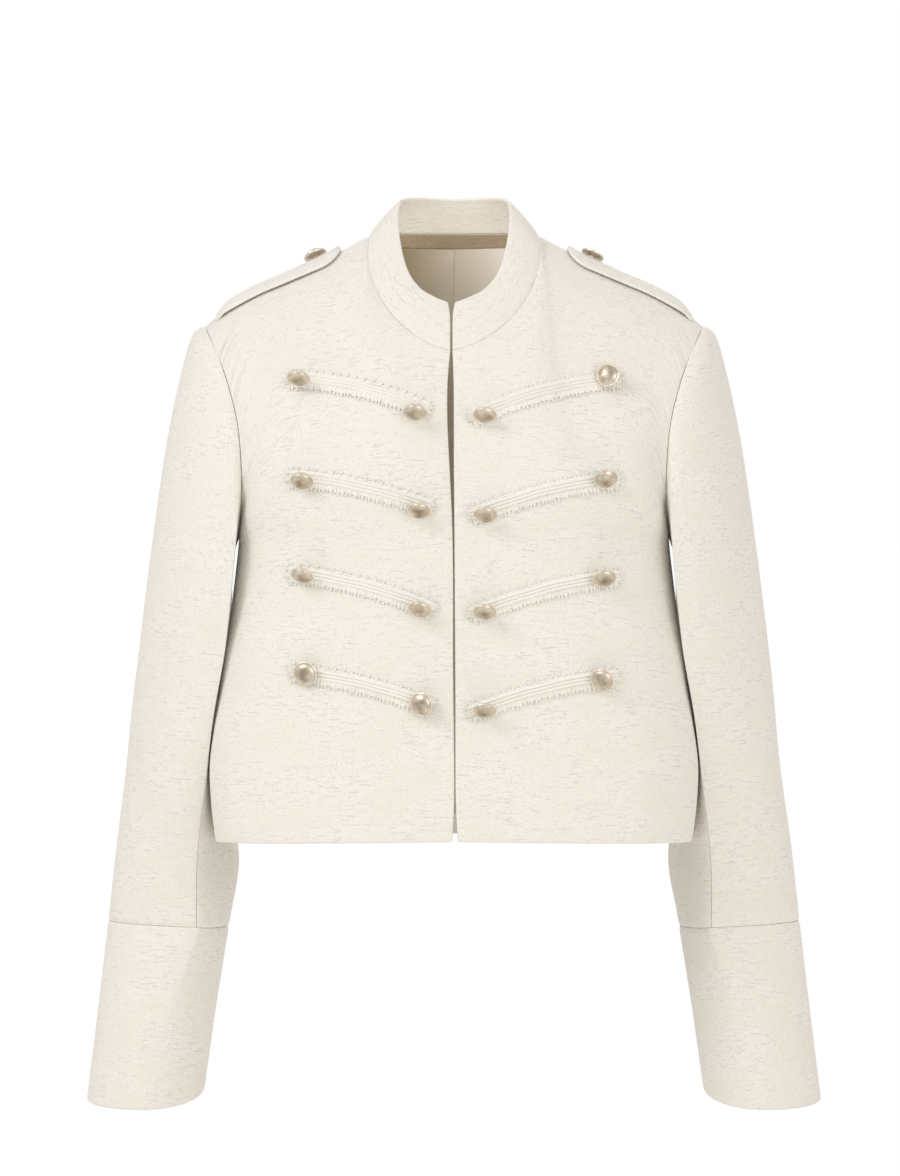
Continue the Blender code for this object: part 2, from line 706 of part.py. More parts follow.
def make_trims(sheets):
    """Curved braids of three ribs whose long edges are frayed into strands. They lie on the fronts."""
    surfaces = {-1: surface_of(sheets["front_right"]), 1: surface_of(sheets["front_left"])}
    names = {-1: "right", 1: "left"}
    seats = {}
    profile = [
        (-BRAID_HALF_WIDTH, 0),
        (-BRAID_HALF_WIDTH, BRAID_EDGE),
        (-RIB_SPACING, RIB_CREST),
        (-RIB_SPACING / 2, RIB_VALLEY),
        (0, RIB_CREST),
        (RIB_SPACING / 2, RIB_VALLEY),
        (RIB_SPACING, RIB_CREST),
        (BRAID_HALF_WIDTH, BRAID_EDGE),
        (BRAID_HALF_WIDTH, 0),
    ]
    for trim in range(len(TRIMS["side"])):
        row = {name: column[trim] for name, column in TRIMS.items()}
        side = int(row["side"])
        surface = surfaces[side]
        outer = np.array([side * row["outer_x"], row["outer_z"]])
        inner = np.array([side * row["inner_x"], row["inner_z"]])

        def path(share):
            along = outer + (inner - outer) * share
            along[1] += row["bow"] * 4 * share * (1 - share)
            return along

        def lay(share, across, height):
            """A place on the braid: a share of its length, across it and above the cloth."""
            here = path(share)
            lead = path(share + LEAD_STEP) - path(share - LEAD_STEP)
            lead /= np.linalg.norm(lead)
            upward = np.array([-lead[1], lead[0]]) * (1 if lead[0] > 0 else -1)
            x, z = here + upward * across
            place, out = front_frame(surface, x, z)
            return place + out * (LAY_GAP + height)

        stations = np.linspace(0, 1, 2 * STRANDS_A_SIDE + 2)
        corners = [lay(share, across, height) for share in stations for across, height in profile]
        ring = len(profile)
        faces = []
        for step in range(len(stations) - 1):
            for place in range(ring):
                after = (place + 1) % ring
                low = step * ring
                quad = (low + place, low + after, low + ring + after, low + ring + place)
                edge = {0: -1, ring - 2: 1}.get(place)
                if edge and step % 2 == 1:
                    faces += strand(corners, quad, stations[step : step + 2], edge, lay, step)
                else:
                    faces.append(quad)
        last = (len(stations) - 1) * ring
        faces.append(tuple(range(ring)))
        faces.append(tuple(range(last, last + ring)))
        solid(f"trim_{names[side]}_{int(row['row'])}", corners, faces, TWEED_TRIM, sharp=35)
        length = np.linalg.norm(inner - outer)
        for at_outer in (0, 1):
            share = BUTTON_INSET / length if at_outer else 1 - BUTTON_INSET / length
            seat = lay(share, 0, RIB_CREST)
            out = unit(lay(share, 0, RIB_CREST + 1) - seat)
            seats[side, int(row["row"]), at_outer] = (seat, out)
    return seats


def strand(corners, root, shares, edge, lay, step):
    """A strand frayed from one quad of the braid's edge: it narrows and leans, each its own amount."""
    length = UPPER_FRINGE if edge > 0 else LOWER_FRINGE
    length *= 1 + STRAND_UNEVEN * math.sin(STRAND_BEATS[0] * step + edge)
    lean = STRAND_LEAN * math.sin(STRAND_BEATS[1] * step + 2 * edge)
    middle = shares.mean() + lean
    half = (shares[1] - shares[0]) * STRAND_TIP / 2
    across = edge * (BRAID_HALF_WIDTH + length)
    first = len(corners)
    tips = [
        (middle - half, STRAND_LOW),
        (middle - half, STRAND_HIGH),
        (middle + half, STRAND_HIGH),
        (middle + half, STRAND_LOW),
    ]
    if edge > 0:
        tips = [tips[1], tips[0], tips[3], tips[2]]
    corners += [lay(share, across, height) for share, height in tips]
    # The root quad runs along the profile first: its first two corners share a station.
    tip = [first, first + 1, first + 2, first + 3]
    sides = [(root[k], root[(k + 1) % 4], tip[(k + 1) % 4], tip[k]) for k in range(4)]
    return sides + [tuple(tip)]


def button_head(centre, axis, seat, out):
    """Rings of a button: its dome, its rim, its back and the shank down to its seat."""
    rings = [
        (centre + axis * DOME_SHOULDER_HEIGHT, DOME_SHOULDER_RADIUS, axis),
        (centre, BUTTON_RADIUS, axis),
        (centre - axis * BUTTON_RIM, BUTTON_BACK_RADIUS, axis),
        (centre - axis * (BUTTON_RIM + BUTTON_BACK_SLOPE), SHANK_RADIUS, axis),
        (seat, SHANK_FOOT_RADIUS, out),
    ]
    return rings


def make_button(name, seat, out, axis, hang=0.0):
    """A shank button: a low dome with a thin rim, held off the cloth by its shank."""
    tilt = math.acos(np.clip(np.dot(out, axis), -1, 1))
    stand = BUTTON_RADIUS * math.sin(tilt) + BUTTON_RIM * math.cos(tilt) + SEAM_GAP
    seat = seat + out * SEAM_GAP
    centre = seat + out * max(stand, LEAST_SHANK) + hang
    rings = button_head(centre, axis, seat, out)
    upright = abs(axis[2]) > abs(axis[1])
    across = unit(np.cross((0, 1.0, 0) if upright else (0, 0, 1.0), axis))
    corners = [centre + axis * BUTTON_DOME]
    turns = np.arange(BUTTON_SIDES) * 2 * math.pi / BUTTON_SIDES
    for place, radius, way in rings:
        level = unit(across - np.dot(across, way) * np.array(way))
        other = np.cross(way, level)
        for turn in turns:
            corners.append(place + radius * (math.cos(turn) * level + math.sin(turn) * other))
    corners.append(seat)
    faces = []
    for side in range(BUTTON_SIDES):
        after = (side + 1) % BUTTON_SIDES
        faces.append((0, 1 + side, 1 + after))
        for ring in range(len(rings) - 1):
            low = 1 + ring * BUTTON_SIDES
            high = low + BUTTON_SIDES
            faces.append((low + side, high + side, high + after, low + after))
        last = 1 + (len(rings) - 1) * BUTTON_SIDES
        faces.append((last + side, len(corners) - 1, last + after))
    solid(name, corners, faces, METAL, sharp=50)


def make_trim_buttons(seats):
    names = {-1: "right", 1: "left"}
    for button in range(len(BUTTONS["side"])):
        row = {name: column[button] for name, column in BUTTONS.items()}
        side, line, at_outer = int(row["side"]), int(row["row"]), int(row["at_outer"])
        seat, out = seats[side, line, at_outer]
        tilt = np.array([-math.tan(math.radians(row["swing"])), 0, -math.tan(math.radians(row["droop"]))])
        down = unit(out[2] * out - (0, 0, 1))
        away = unit(np.array([side, 0, 0]) - side * out[0] * out)
        hang = down * row["sag"] + away * row["aside"]
        place = "outer" if at_outer else "inner"
        make_button(f"button_{names[side]}_{line}_{place}", seat, out, unit(out + tilt), hang)


def make_straps(sheets, tube):
    """Shoulder straps lie over the shoulder seam from the armhole to a rounded end near the neck."""
    for name, side in (("right", -1), ("left", 1)):
        mirror = np.array([side, 1, 1])
        surface = surface_of(sheets[f"front_{name}"], sheets["back"], closed_tube(tube) * mirror)

        def above(x, y, height):
            """A place over the shoulder, above its cloth."""
            def roof(dx, dy):
                return touch(surface, (side * (x + dx), y + dy, FAR_ABOVE), (0, 0, -1))

            place = roof(0, 0)
            level = roof(STRAP_SPAN, 0) - roof(-STRAP_SPAN, 0)
            rising = roof(0, STRAP_SPAN) - roof(0, -STRAP_SPAN)
            out = unit(np.cross(level, rising))
            out *= math.copysign(1, out[2])
            return place + out * height

        along = np.linspace(0, 1, STRAP_STEPS + 1)
        across = np.concatenate([np.linspace(STRAP_FRONT, 0, 4), np.linspace(0, STRAP_BACK, 3)[1:]])
        outer = np.empty((len(along), len(across), 3))
        base = np.empty_like(outer)
        for step, share in enumerate(along):
            x = STRAP_NECK_X + (STRAP_TIP_X - STRAP_NECK_X) * share
            round_end = 1 - (1 - min((x - STRAP_NECK_X) / STRAP_POINT, 1)) ** 2
            narrow = max(math.sqrt(round_end), STRAP_LEAST_WIDTH)
            for place, reach in enumerate(across):
                y = STRAP_RIDGE_Y + reach * narrow
                base[step, place] = above(x, y, STRAP_LAY)
                outer[step, place] = above(x, y, STRAP_LAY + STRAP_WALL)
        faces = wall_faces(*outer.shape[:2], False)
        corners = np.concatenate([outer.reshape(-1, 3), base.reshape(-1, 3)])
        solid(f"strap_{name}", corners, faces, TWEED)
        seat = above(STRAP_BUTTON_X, STRAP_BUTTON_Y, STRAP_LAY + STRAP_WALL)
        out = unit(above(STRAP_BUTTON_X, STRAP_BUTTON_Y, STRAP_LAY + STRAP_WALL + 1) - seat)
        make_button(f"button_strap_{name}", seat, out, out)


def make_inside(back, back_inward):
    """The back neck facing and the back lining, which has a soft pleat down its middle. Both hang just inside
    the back."""
    behind = back + back_inward * (WALL + INSIDE_GAP)
    fall = np.linalg.norm(behind[-2] - behind[-1], axis=-1, keepdims=True)

    def below_top(depth):
        share = depth / fall
        place = behind[-1] * (1 - share) + behind[-2] * share
        way = back_inward[-1] * (1 - share) + back_inward[-2] * share
        return place, unit(way)

    neck = slice(SHOULDER_STEPS + 1, SHOULDER_STEPS + 2 * NECK_BACK_STEPS)
    facing = [below_top(depth) for depth in (FACING_DEPTH, FACING_DEPTH / 2, SEAM_GAP)]
    places = np.stack([place[neck] for place, _ in facing])
    ways = np.stack([way[neck] for _, way in facing])
    places += ways * INSIDE_GAP
    wall("back_neck_facing", places, ways, LINING_WALL, TWEED)
    top, top_way = below_top(FACING_DEPTH + SEAM_GAP)
    top += 2 * top_way * INSIDE_GAP
    share = LINING_HEM / np.linalg.norm(behind[1] - behind[0], axis=-1, keepdims=True)
    hem = behind[0] * (1 - share) + behind[1] * share
    lining = np.concatenate([hem[None], behind[1:-1], top[None]])[:, 1:-1]
    ways = np.concatenate([back_inward[:1], back_inward[1:-1], top_way[None]])[:, 1:-1]
    pleat = lining.shape[1] // 2
    lining[:, pleat] += ways[:, pleat] * PLEAT_HEIGHT
    wall("back_lining", lining, ways, LINING_WALL, LINING)


body_sheets, back_outer, back_thickening = make_body()
make_collar()
sleeve_outer = make_sleeves()
button_seats = make_trims(body_sheets)
make_trim_buttons(button_seats)
make_straps(body_sheets, sleeve_outer)
make_inside(back_outer, back_thickening)
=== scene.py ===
"""Tweed jacket: the fine surface of a short cream jacket, shown hollow as when it is worn.

The front faces -Y, the wearer's left is +X and +Z is up. Shapes are worked out in millimetres, and piece()
turns them to metres.
"""

import math

import bpy
import numpy as np
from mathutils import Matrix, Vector
from mathutils.bvhtree import BVHTree


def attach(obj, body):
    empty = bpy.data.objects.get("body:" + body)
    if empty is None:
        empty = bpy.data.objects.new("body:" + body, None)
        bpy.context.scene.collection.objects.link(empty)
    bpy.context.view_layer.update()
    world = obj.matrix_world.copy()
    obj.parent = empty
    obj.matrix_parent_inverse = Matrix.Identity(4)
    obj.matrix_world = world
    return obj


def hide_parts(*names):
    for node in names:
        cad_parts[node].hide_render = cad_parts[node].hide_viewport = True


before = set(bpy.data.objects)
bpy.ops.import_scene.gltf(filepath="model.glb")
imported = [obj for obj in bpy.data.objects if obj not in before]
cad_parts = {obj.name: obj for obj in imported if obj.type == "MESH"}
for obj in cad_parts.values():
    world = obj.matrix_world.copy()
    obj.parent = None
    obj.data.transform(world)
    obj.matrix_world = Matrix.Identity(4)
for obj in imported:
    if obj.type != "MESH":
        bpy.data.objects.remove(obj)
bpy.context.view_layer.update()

# Camera, light and floor. The camera stands 3.5 m in front, level with the lower chest, with a long lens that
# takes in 720 mm at the middle of the jacket. A broad soft light comes from the viewer's left, a weak warm
# one from the right, a small one inside the neck lifts its back, and the room round it is white.
camera = bpy.data.cameras.new("camera")
camera.sensor_fit = "HORIZONTAL"
camera.sensor_width = 36
camera.lens = 175
camera.shift_x = -0.0044
camera.shift_y = 0.0411
stand = bpy.data.objects.new("camera", camera)
stand.location = (0, -3.5, -0.3)
stand.rotation_euler = (math.pi / 2, 0, 0)
bpy.context.collection.objects.link(stand)
bpy.context.scene.camera = stand
bpy.context.scene.view_settings.view_transform = "Standard"

for name, place, aim, size, watts, colour in (
    ("key_light", (-2.1, -2.0, 1.5), (0, 0, -0.3), 1.8, 32, (0.98, 0.99, 1.0)),
    ("front_fill", (1.6, -2.8, 0.2), (0, 0, -0.3), 2.4, 19, (1.0, 0.99, 0.97)),
    ("back_light", (0.6, 2.6, 1.2), (0, 0, -0.3), 2.0, 20, (1.0, 0.98, 0.95)),
    ("neck_light", (-0.006, -0.03, -0.03), (0.012, 0.06, -0.015), 0.04, 0.03, (1.0, 0.9, 0.76)),
):
    light = bpy.data.lights.new(name, "AREA")
    light.shape = "DISK"
    light.size = size
    light.energy = watts
    light.color = colour
    lamp = bpy.data.objects.new(name, light)
    lamp.visible_camera = False
    lamp.location = place
    lamp.rotation_euler = (Vector(place) - Vector(aim)).to_track_quat("Z", "Y").to_euler()
    bpy.context.collection.objects.link(lamp)


def node(tree, kind, sockets=None, **settings):
    """Adds a shader node. Sockets are given by name or number: a socket is linked in, a value is set."""
    made = tree.nodes.new(kind)
    for name, value in settings.items():
        setattr(made, name, value)
    for name, value in (sockets or {}).items():
        if isinstance(value, bpy.types.NodeSocket):
            tree.links.new(value, made.inputs[name])
        else:
            made.inputs[name].default_value = value
    return made


def linear(colour):
    """An sRGB hex colour as linear RGBA: c / 12.92 up to 0.04045, and ((c + 0.055) / 1.055) ** 2.4 above."""
    parts = np.array([int(colour[at : at + 2], 16) for at in (1, 3, 5)]) / 255
    parts = np.where(parts <= 0.04045, parts / 12.92, ((parts + 0.055) / 1.055) ** 2.4)
    return (*parts.tolist(), 1.0)


room = bpy.data.worlds.new("white_room")
room.use_nodes = True
room.node_tree.nodes.clear()
seen = node(room.node_tree, "ShaderNodeBackground", {"Color": linear("#FFFFFF"), "Strength": 1.0})
lit = node(room.node_tree, "ShaderNodeBackground", {"Color": linear("#FFFBF5"), "Strength": 0.7})
ray = node(room.node_tree, "ShaderNodeLightPath")
mixed = node(
    room.node_tree,
    "ShaderNodeMixShader",
    {0: ray.outputs["Is Camera Ray"], 1: lit.outputs[0], 2: seen.outputs[0]},
)
node(room.node_tree, "ShaderNodeOutputWorld", {0: mixed.outputs[0]})
bpy.context.scene.world = room

paint = bpy.data.materials.new("white_paint")
paint.use_nodes = True
paint.node_tree.nodes["Principled BSDF"].inputs["Base Color"].default_value = linear("#F4F2EE")
paint.node_tree.nodes["Principled BSDF"].inputs["Roughness"].default_value = 0.9
plate = bpy.data.meshes.new("floor")
plate.from_pydata([(-2, -2, -1.15), (2, -2, -1.15), (2, 1.6, -1.15), (-2, 1.6, -1.15)], [], [(0, 1, 2, 3)])
plate.materials.append(paint)
floor = bpy.data.objects.new("floor", plate)
bpy.context.collection.objects.link(floor)

# Fronts and back. Ivory cotton tweed with slub yarns, cut in two fronts that meet edge to edge and one back,
# sewn at the sides and shoulders. The cut is drawn on a coarse net of rows and columns, and the cloth is a
# smooth surface through its points.
WALL = 1.8
SEAM_GAP = 0.3
NECK_FRONT_STEPS = 6
NECK_BACK_STEPS = 4
SHOULDER_STEPS = 6
BODY_STEPS = 8
ARMHOLE_STEPS = 20


def table(names, *rows):
    """Named columns of a short table, a row for each section."""
    return dict(zip(names.split(), np.array(rows, float).T))


ARMPIT_HEIGHT = -232
HEM_FRONT = -468
HEM_SIDE = -472
SIDE_SEAM_TURN = 1.14
FRONT_SQUARENESS = 2.6
BACK_SQUARENESS = 2.1
BODY = table(
    "height half_width widest_y front_y back_y",
    (-474, 188.5, -30, -115, 108),
    (-455, 191, -30, -116, 109),
    (-412, 193.5, -30, -118, 112),
    (-352, 186, -28, -120, 115),
    (-288, 179, -25, -121, 117),
    (-232, 172, -20, -119, 116),
)
CENTRE_FRONT = table(
    "height forward_y",
    (-232, -119),
    (-190, -115),
    (-150, -107),
    (-115, -96),
    (-85, -82),
)
OPENING = table(
    "height shift half_gap",
    (-474, 0.8, 3.0),
    (-468, 0.8, 2.2),
    (-461, 0.8, 1.2),
    (-450, 0.8, 0.9),
    (-340, 0.2, 0.8),
    (-210, -0.8, 0.9),
    (-175, -1.8, 1.5),
    (-140, -2.6, 2.3),
    (-110, -2.6, 2.2),
    (-85, -2.0, 0.8),
)
CENTRE_BACK = table(
    "height back_y",
    (-232, 116),
    (-170, 112.5),
    (-110, 104),
    (-60, 92),
    (-20, 77.5),
    (19.5, 62),
)
NECK_POINT_TURN = 76
SEAM_LOOP = {"half_width": 70, "middle_y": -10, "half_depth": 72}
EDGE_LOOP = {"half_width": 45, "middle_y": -7, "half_depth": 54}
NECK = table(
    "turn seam_z edge_z",
    (0, 19.5, 46),
    (30, 19, 46),
    (60, 16, 44),
    (76, 12, 40),
    (90, 4, 30),
    (100, -8, 18),
    (111, -25, 3),
    (120, -36, -10),
    (132, -51, -23),
    (145, -64, -33),
    (163, -78, -41),
    (180, -85, -44.5),
)
SHOULDER = table(
    "x y z",
    (98, 7, -3),
    (132, 7, -19),
    (167, 6.5, -35),
    (188, 6, -49),
)
SLEEVE = table(
    "section outer_x outer_y outer_z front_x front_y front_z "
    "inner_x inner_y inner_z back_x back_y back_z roll ridge",
    (0, 199, 6, -60, 166, -75, -183, 172, 6, -232, 176, 68, -170, 2.0, 0.0),
    (1, 208, 6, -66, 167, -79, -197, 175, 6, -239, 184, 73, -184, 1.8, 0.1),
    (2, 214, 6, -82, 168, -82, -212, 177, 7, -248, 190, 77, -202, 1.6, 0.2),
    (3, 221, 6, -110, 169, -84, -229, 178, 8, -261, 195, 80, -224, 1.4, 0.3),
    (4, 230, 7, -155, 171, -84, -251, 178, 10, -279, 199, 84, -251, 1.2, 0.4),
    (5, 239, 9, -215, 174, -80, -281, 180, 14, -301, 204, 88, -286, 1.0, 0.5),
    (6, 248.5, 15, -285, 179, -70, -322, 184, 20, -333, 210, 92, -325, 1.0, 0.6),
    (7, 257, 28, -350, 187, -54, -372, 189, 30, -376, 216, 97, -372, 1.0, 0.6),
    (8, 265, 42, -416, 196, -36, -425, 185, 46, -428, 222, 103, -424, 1.0, 0.6),
    (9, 274, 54, -482, 204, -12, -486, 174, 58, -486, 229, 108, -483, 1.0, 0.6),
    (10, 281, 62, -540, 206, 7, -543, 183, 66, -545, 236, 113, -543, 1.0, 0.3),
    (11, 290, 70, -613, 236, 18, -617, 194, 74, -611, 244, 120, -607, 1.0, 0.0),
    (12, 300, 80, -687, 250, 33, -692, 204, 82, -680, 253, 126, -675, 1.0, 0.0),
)
LEVEL_FROM = 10


def smooth(at, knots, values):
    """A curve through the knots: a cubic between neighbours, with the mean slope of both sides at each."""
    at = np.asarray(at, float)
    values = np.asarray(values, float)
    slopes = np.gradient(values, knots)
    left = np.clip(np.searchsorted(knots, at, side="right") - 1, 0, len(knots) - 2)
    span = knots[left + 1] - knots[left]
    t = (at - knots[left]) / span
    start = (2 * t**3 - 3 * t**2 + 1) * values[left] + (t**3 - 2 * t**2 + t) * span * slopes[left]
    end = (3 * t**2 - 2 * t**3) * values[left + 1] + (t**3 - t**2) * span * slopes[left + 1]
    return start + end


def points(x, y, z):
    """Stacks three arrays into points."""
    return np.stack(np.broadcast_arrays(x, y, z), axis=-1).astype(float)


def unit(vectors):
    """Vectors divided by their lengths."""
    return vectors / np.linalg.norm(vectors, axis=-1, keepdims=True)


def body_outline(height, turn, edge_x):
    """The body from above, a superellipse: turn 0 is the centre front, 1 the side and 2 the centre back."""
    half_width = smooth(height, BODY["height"], BODY["half_width"])
    widest_y = smooth(height, BODY["height"], BODY["widest_y"])
    front_y = smooth(height, BODY["height"], BODY["front_y"])
    back_y = smooth(height, BODY["height"], BODY["back_y"])
    across = np.abs(np.sin(turn * math.pi / 2))
    along = np.abs(np.cos(turn * math.pi / 2))
    squareness = np.where(turn < 1, FRONT_SQUARENESS, BACK_SQUARENESS)
    reach = np.where(turn < 1, front_y - widest_y, back_y - widest_y)
    x = edge_x + (half_width - edge_x) * across ** (2 / squareness)
    y = widest_y + reach * along ** (2 / squareness)
    return points(x, y, height)


def neck_loop(turn, loop, heights):
    """A loop round the neck: an ellipse from above, at the heights of its column in the neck table."""
    angle = np.radians(turn)
    x = loop["half_width"] * np.sin(angle)
    y = loop["middle_y"] + loop["half_depth"] * np.cos(angle)
    return points(x, y, smooth(turn, NECK["turn"], NECK[heights]))


def neck_inward(turn):
    """At the neck seam the walls thicken towards the neck and a little downwards."""
    angle = np.radians(turn)
    return unit(points(-np.sin(angle), -np.cos(angle), -0.7))


def sleeve_section(section, angle):
    """One section of the sleeve: quarter curves from the outer line (0) by the front seam (90), the inner
    line (180) and the back seam (270) round to the outer line. A ridge straightens the cloth behind the
    front seam. Below the cuff seam the sections become level: each is a cut across the tube on one plane."""
    place = {name: smooth(section, SLEEVE["section"], column) for name, column in SLEEVE.items()}
    quarter = (np.floor(angle / 90) % 4).astype(int)
    part = (angle % 90) / 90
    sine = np.sin(part * math.pi / 2)
    cosine = np.cos(part * math.pi / 2)
    roll = place["roll"]
    round_in = 2 - roll if roll > 1 else 1.0
    curl = round_in * sine + (1 - round_in) * (1 - cosine)
    ridge = place["ridge"]
    level = np.clip(section - LEVEL_FROM, 0, 1)

    def between(axis, start, end, share):
        return place[start + axis] + (place[end + axis] - place[start + axis]) * share

    front_x = between("_x", "front", "outer", cosine**roll)
    front_y = between("_y", "outer", "front", sine)
    front_z = between("_z", "front", "outer", (1 - level) * cosine + level * (1 - sine))
    inner_x = between("_x", "front", "inner", (1 - ridge) * curl + ridge * part)
    inner_y = between("_y", "front", "inner", (1 - ridge) * (1 - cosine) + ridge * part)
    inner_z = between("_z", "front", "inner", (1 - level) * sine + level * (1 - cosine))
    under_x = between("_x", "back", "inner", cosine)
    under_y = between("_y", "inner", "back", sine)
    under_z = between("_z", "back", "inner", (1 - level) * cosine + level * (1 - sine))
    back_x = between("_x", "back", "outer", sine**roll)
    back_y = between("_y", "outer", "back", cosine)
    back_z = between("_z", "back", "outer", (1 - level) * sine + level * (1 - cosine))
    x = np.choose(quarter, [front_x, inner_x, under_x, back_x])
    y = np.choose(quarter, [front_y, inner_y, under_y, back_y])
    z = np.choose(quarter, [front_z, inner_z, under_z, back_z])
    return points(x, y, z)


def shoulder_seam(steps):
    """Points from the neck point to the shoulder tip."""
    start = neck_loop(np.array(NECK_POINT_TURN), SEAM_LOOP, "seam_z")
    tip = sleeve_section(0, np.array([0.0]))[0]
    seam = np.vstack([start, points(SHOULDER["x"], SHOULDER["y"], SHOULDER["z"]), tip])
    x = np.linspace(start[0], tip[0], steps + 1)
    return points(x, smooth(x, seam[:, 0], seam[:, 1]), smooth(x, seam[:, 0], seam[:, 2]))


def armhole_inward(angle):
    """At the armhole the walls thicken towards its middle."""
    toward = sleeve_section(0, np.array([0.0, 90.0, 180.0, 270.0])).mean(axis=0) - sleeve_section(0, angle)
    toward[:, 0] *= 0.2
    return unit(toward)


def patch(bottom, top, start, end):
    """A sheet between four edges: each pair of edges blended across, less the blend of the four corners."""
    u = np.linspace(0, 1, len(bottom))[None, :, None]
    v = np.linspace(0, 1, len(start))[:, None, None]
    ease = 0.5 * v + 0.5 * (3 * v**2 - 2 * v**3)
    rows = (1 - ease) * bottom[None] + ease * top[None]
    columns = (1 - u) * start[:, None] + u * end[:, None]
    low = (1 - u) * bottom[0] + u * bottom[-1]
    high = (1 - u) * top[0] + u * top[-1]
    return rows + columns - (1 - ease) * low - ease * high


def relax(grid, first_row, passes):
    """Evens out the inside of a sheet above a row: each point moves halfway to the mean of its neighbours."""
    for _ in range(passes):
        mean = (grid[:-2, 1:-1] + grid[2:, 1:-1] + grid[1:-1, :-2] + grid[1:-1, 2:]) / 4
        inside = grid[1:-1, 1:-1]
        inside[first_row:] += 0.5 * (mean - inside)[first_row:]
    return grid


def half_gap(height, side):
    """Where the centre front edge of a side lies, measured from the middle line towards that side."""
    gap = smooth(height, OPENING["height"], OPENING["half_gap"])
    return gap + side * smooth(height, OPENING["height"], OPENING["shift"])


def slope(grid, axis):
    """The way a sheet runs at each point: halfway between its step before and its step after."""
    steps = unit(np.diff(grid, axis=axis))
    first = np.take(steps, [0], axis=axis)
    last = np.take(steps, [-1], axis=axis)
    return np.concatenate([first, steps], axis=axis) + np.concatenate([steps, last], axis=axis)


def inward_normals(grid, inside):
    """Unit vectors square to a sheet, on the side of an inner place."""
    normal = unit(np.cross(slope(grid, 1), slope(grid, 0)))
    return normal if ((inside - grid) * normal).sum() > 0 else -normal


def body_heights(hem):
    """Heights of the body's rows from the hem line up to the armpit."""
    share = np.linspace(0, 1, BODY_STEPS + 1)[:, None]
    return hem[None] * (1 - share) + ARMPIT_HEIGHT * share


def share_shoulder(inward):
    """Along the shoulder seam the walls of front and back thicken squarely down from the seam."""
    run = np.gradient(shoulder_seam(SHOULDER_STEPS), axis=0)
    inward[-1, -SHOULDER_STEPS:] = unit(points(run[:, 2], 0, -run[:, 0]))[1:]


def front_sheet(side):
    """A front: rows from the hem to the neck and shoulder, columns from the centre front to the side."""
    share = np.linspace(0, 1, NECK_FRONT_STEPS + SHOULDER_STEPS + 1)
    turn = SIDE_SEAM_TURN * share**1.35
    height = body_heights(HEM_FRONT + (HEM_SIDE - HEM_FRONT) * share)
    lower = body_outline(height, np.broadcast_to(turn, height.shape), half_gap(height, side))
    up = np.linspace(ARMPIT_HEIGHT, NECK["seam_z"][-1], ARMHOLE_STEPS // 2 + 1)
    centre = points(half_gap(up, side), smooth(up, CENTRE_FRONT["height"], CENTRE_FRONT["forward_y"]), up)
    neck_turn = np.linspace(180, NECK_POINT_TURN, NECK_FRONT_STEPS + 1)
    neck = neck_loop(neck_turn, SEAM_LOOP, "seam_z")
    neck[:, 0] += (centre[-1, 0] - neck[0, 0]) * (1 - np.linspace(0, 1, len(neck))) ** 2
    top = np.vstack([neck, shoulder_seam(SHOULDER_STEPS)[1:]])
    armhole = np.linspace(180, 0, ARMHOLE_STEPS // 2 + 1)
    grid = np.vstack([lower, patch(lower[-1], top, centre, sleeve_section(0, armhole))[1:]])
    relax(grid, BODY_STEPS - 3, 3)
    inward = inward_normals(grid, np.array([60.0, 0, -250]))
    inward[-1, : NECK_FRONT_STEPS + 1] = neck_inward(neck_turn)
    share_shoulder(inward)
    inward[BODY_STEPS:, -1] = armhole_inward(armhole)
    return grid, inward


def back_sheet():
    """The whole back, in one piece from the right side seam to the left, drawn as half and mirrored."""
    columns = NECK_BACK_STEPS + SHOULDER_STEPS
    share = np.linspace(0, 1, columns + 1)
    turn = 2 - (2 - SIDE_SEAM_TURN) * share**1.15
    height = body_heights(np.full(columns + 1, float(HEM_SIDE)))
    lower = body_outline(height, np.broadcast_to(turn, height.shape), 0.0)
    up = np.linspace(ARMPIT_HEIGHT, NECK["seam_z"][0], ARMHOLE_STEPS // 2 + 1)
    centre = points(0.0, smooth(up, CENTRE_BACK["height"], CENTRE_BACK["back_y"]), up)
    neck_turn = np.linspace(0, NECK_POINT_TURN, NECK_BACK_STEPS + 1)
    top = np.vstack([neck_loop(neck_turn, SEAM_LOOP, "seam_z"), shoulder_seam(SHOULDER_STEPS)[1:]])
    armhole = np.linspace(180, 360, ARMHOLE_STEPS // 2 + 1)
    half = np.vstack([lower, patch(lower[-1], top, centre, sleeve_section(0, armhole))[1:]])
    grid = np.concatenate([half[:, :0:-1] * (-1, 1, 1), half], axis=1)
    relax(grid, BODY_STEPS - 3, 3)
    inward = inward_normals(grid, np.array([0.0, 0, -250]))
    left = inward[:, columns:]
    left[-1, : NECK_BACK_STEPS + 1] = neck_inward(neck_turn)
    share_shoulder(left)
    left[BODY_STEPS:, -1] = armhole_inward(armhole)
    inward[:, :columns] = left[:, :0:-1] * (-1, 1, 1)
    return grid, inward


def through(net, at):
    """A smooth curve through the rows of a net, read at row numbers with fractions: a cubic between two rows,
    whose slope at each is half the step from the row before to the row after."""
    slopes = np.gradient(net, axis=0)
    low = np.clip(np.floor(at).astype(int), 0, len(net) - 2)
    t = (at - low).reshape(-1, *[1] * (net.ndim - 1))
    start = (2 * t**3 - 3 * t**2 + 1) * net[low] + (t**3 - 2 * t**2 + t) * slopes[low]
    return start + (3 * t**2 - 2 * t**3) * net[low + 1] + (t**3 - t**2) * slopes[low + 1]


def surface(net, rows, columns):
    """A smooth surface through a net, read at arrays of row and column numbers."""
    across = through(np.swapaxes(through(net, rows), 0, 1), columns)
    return np.swapaxes(across, 0, 1)


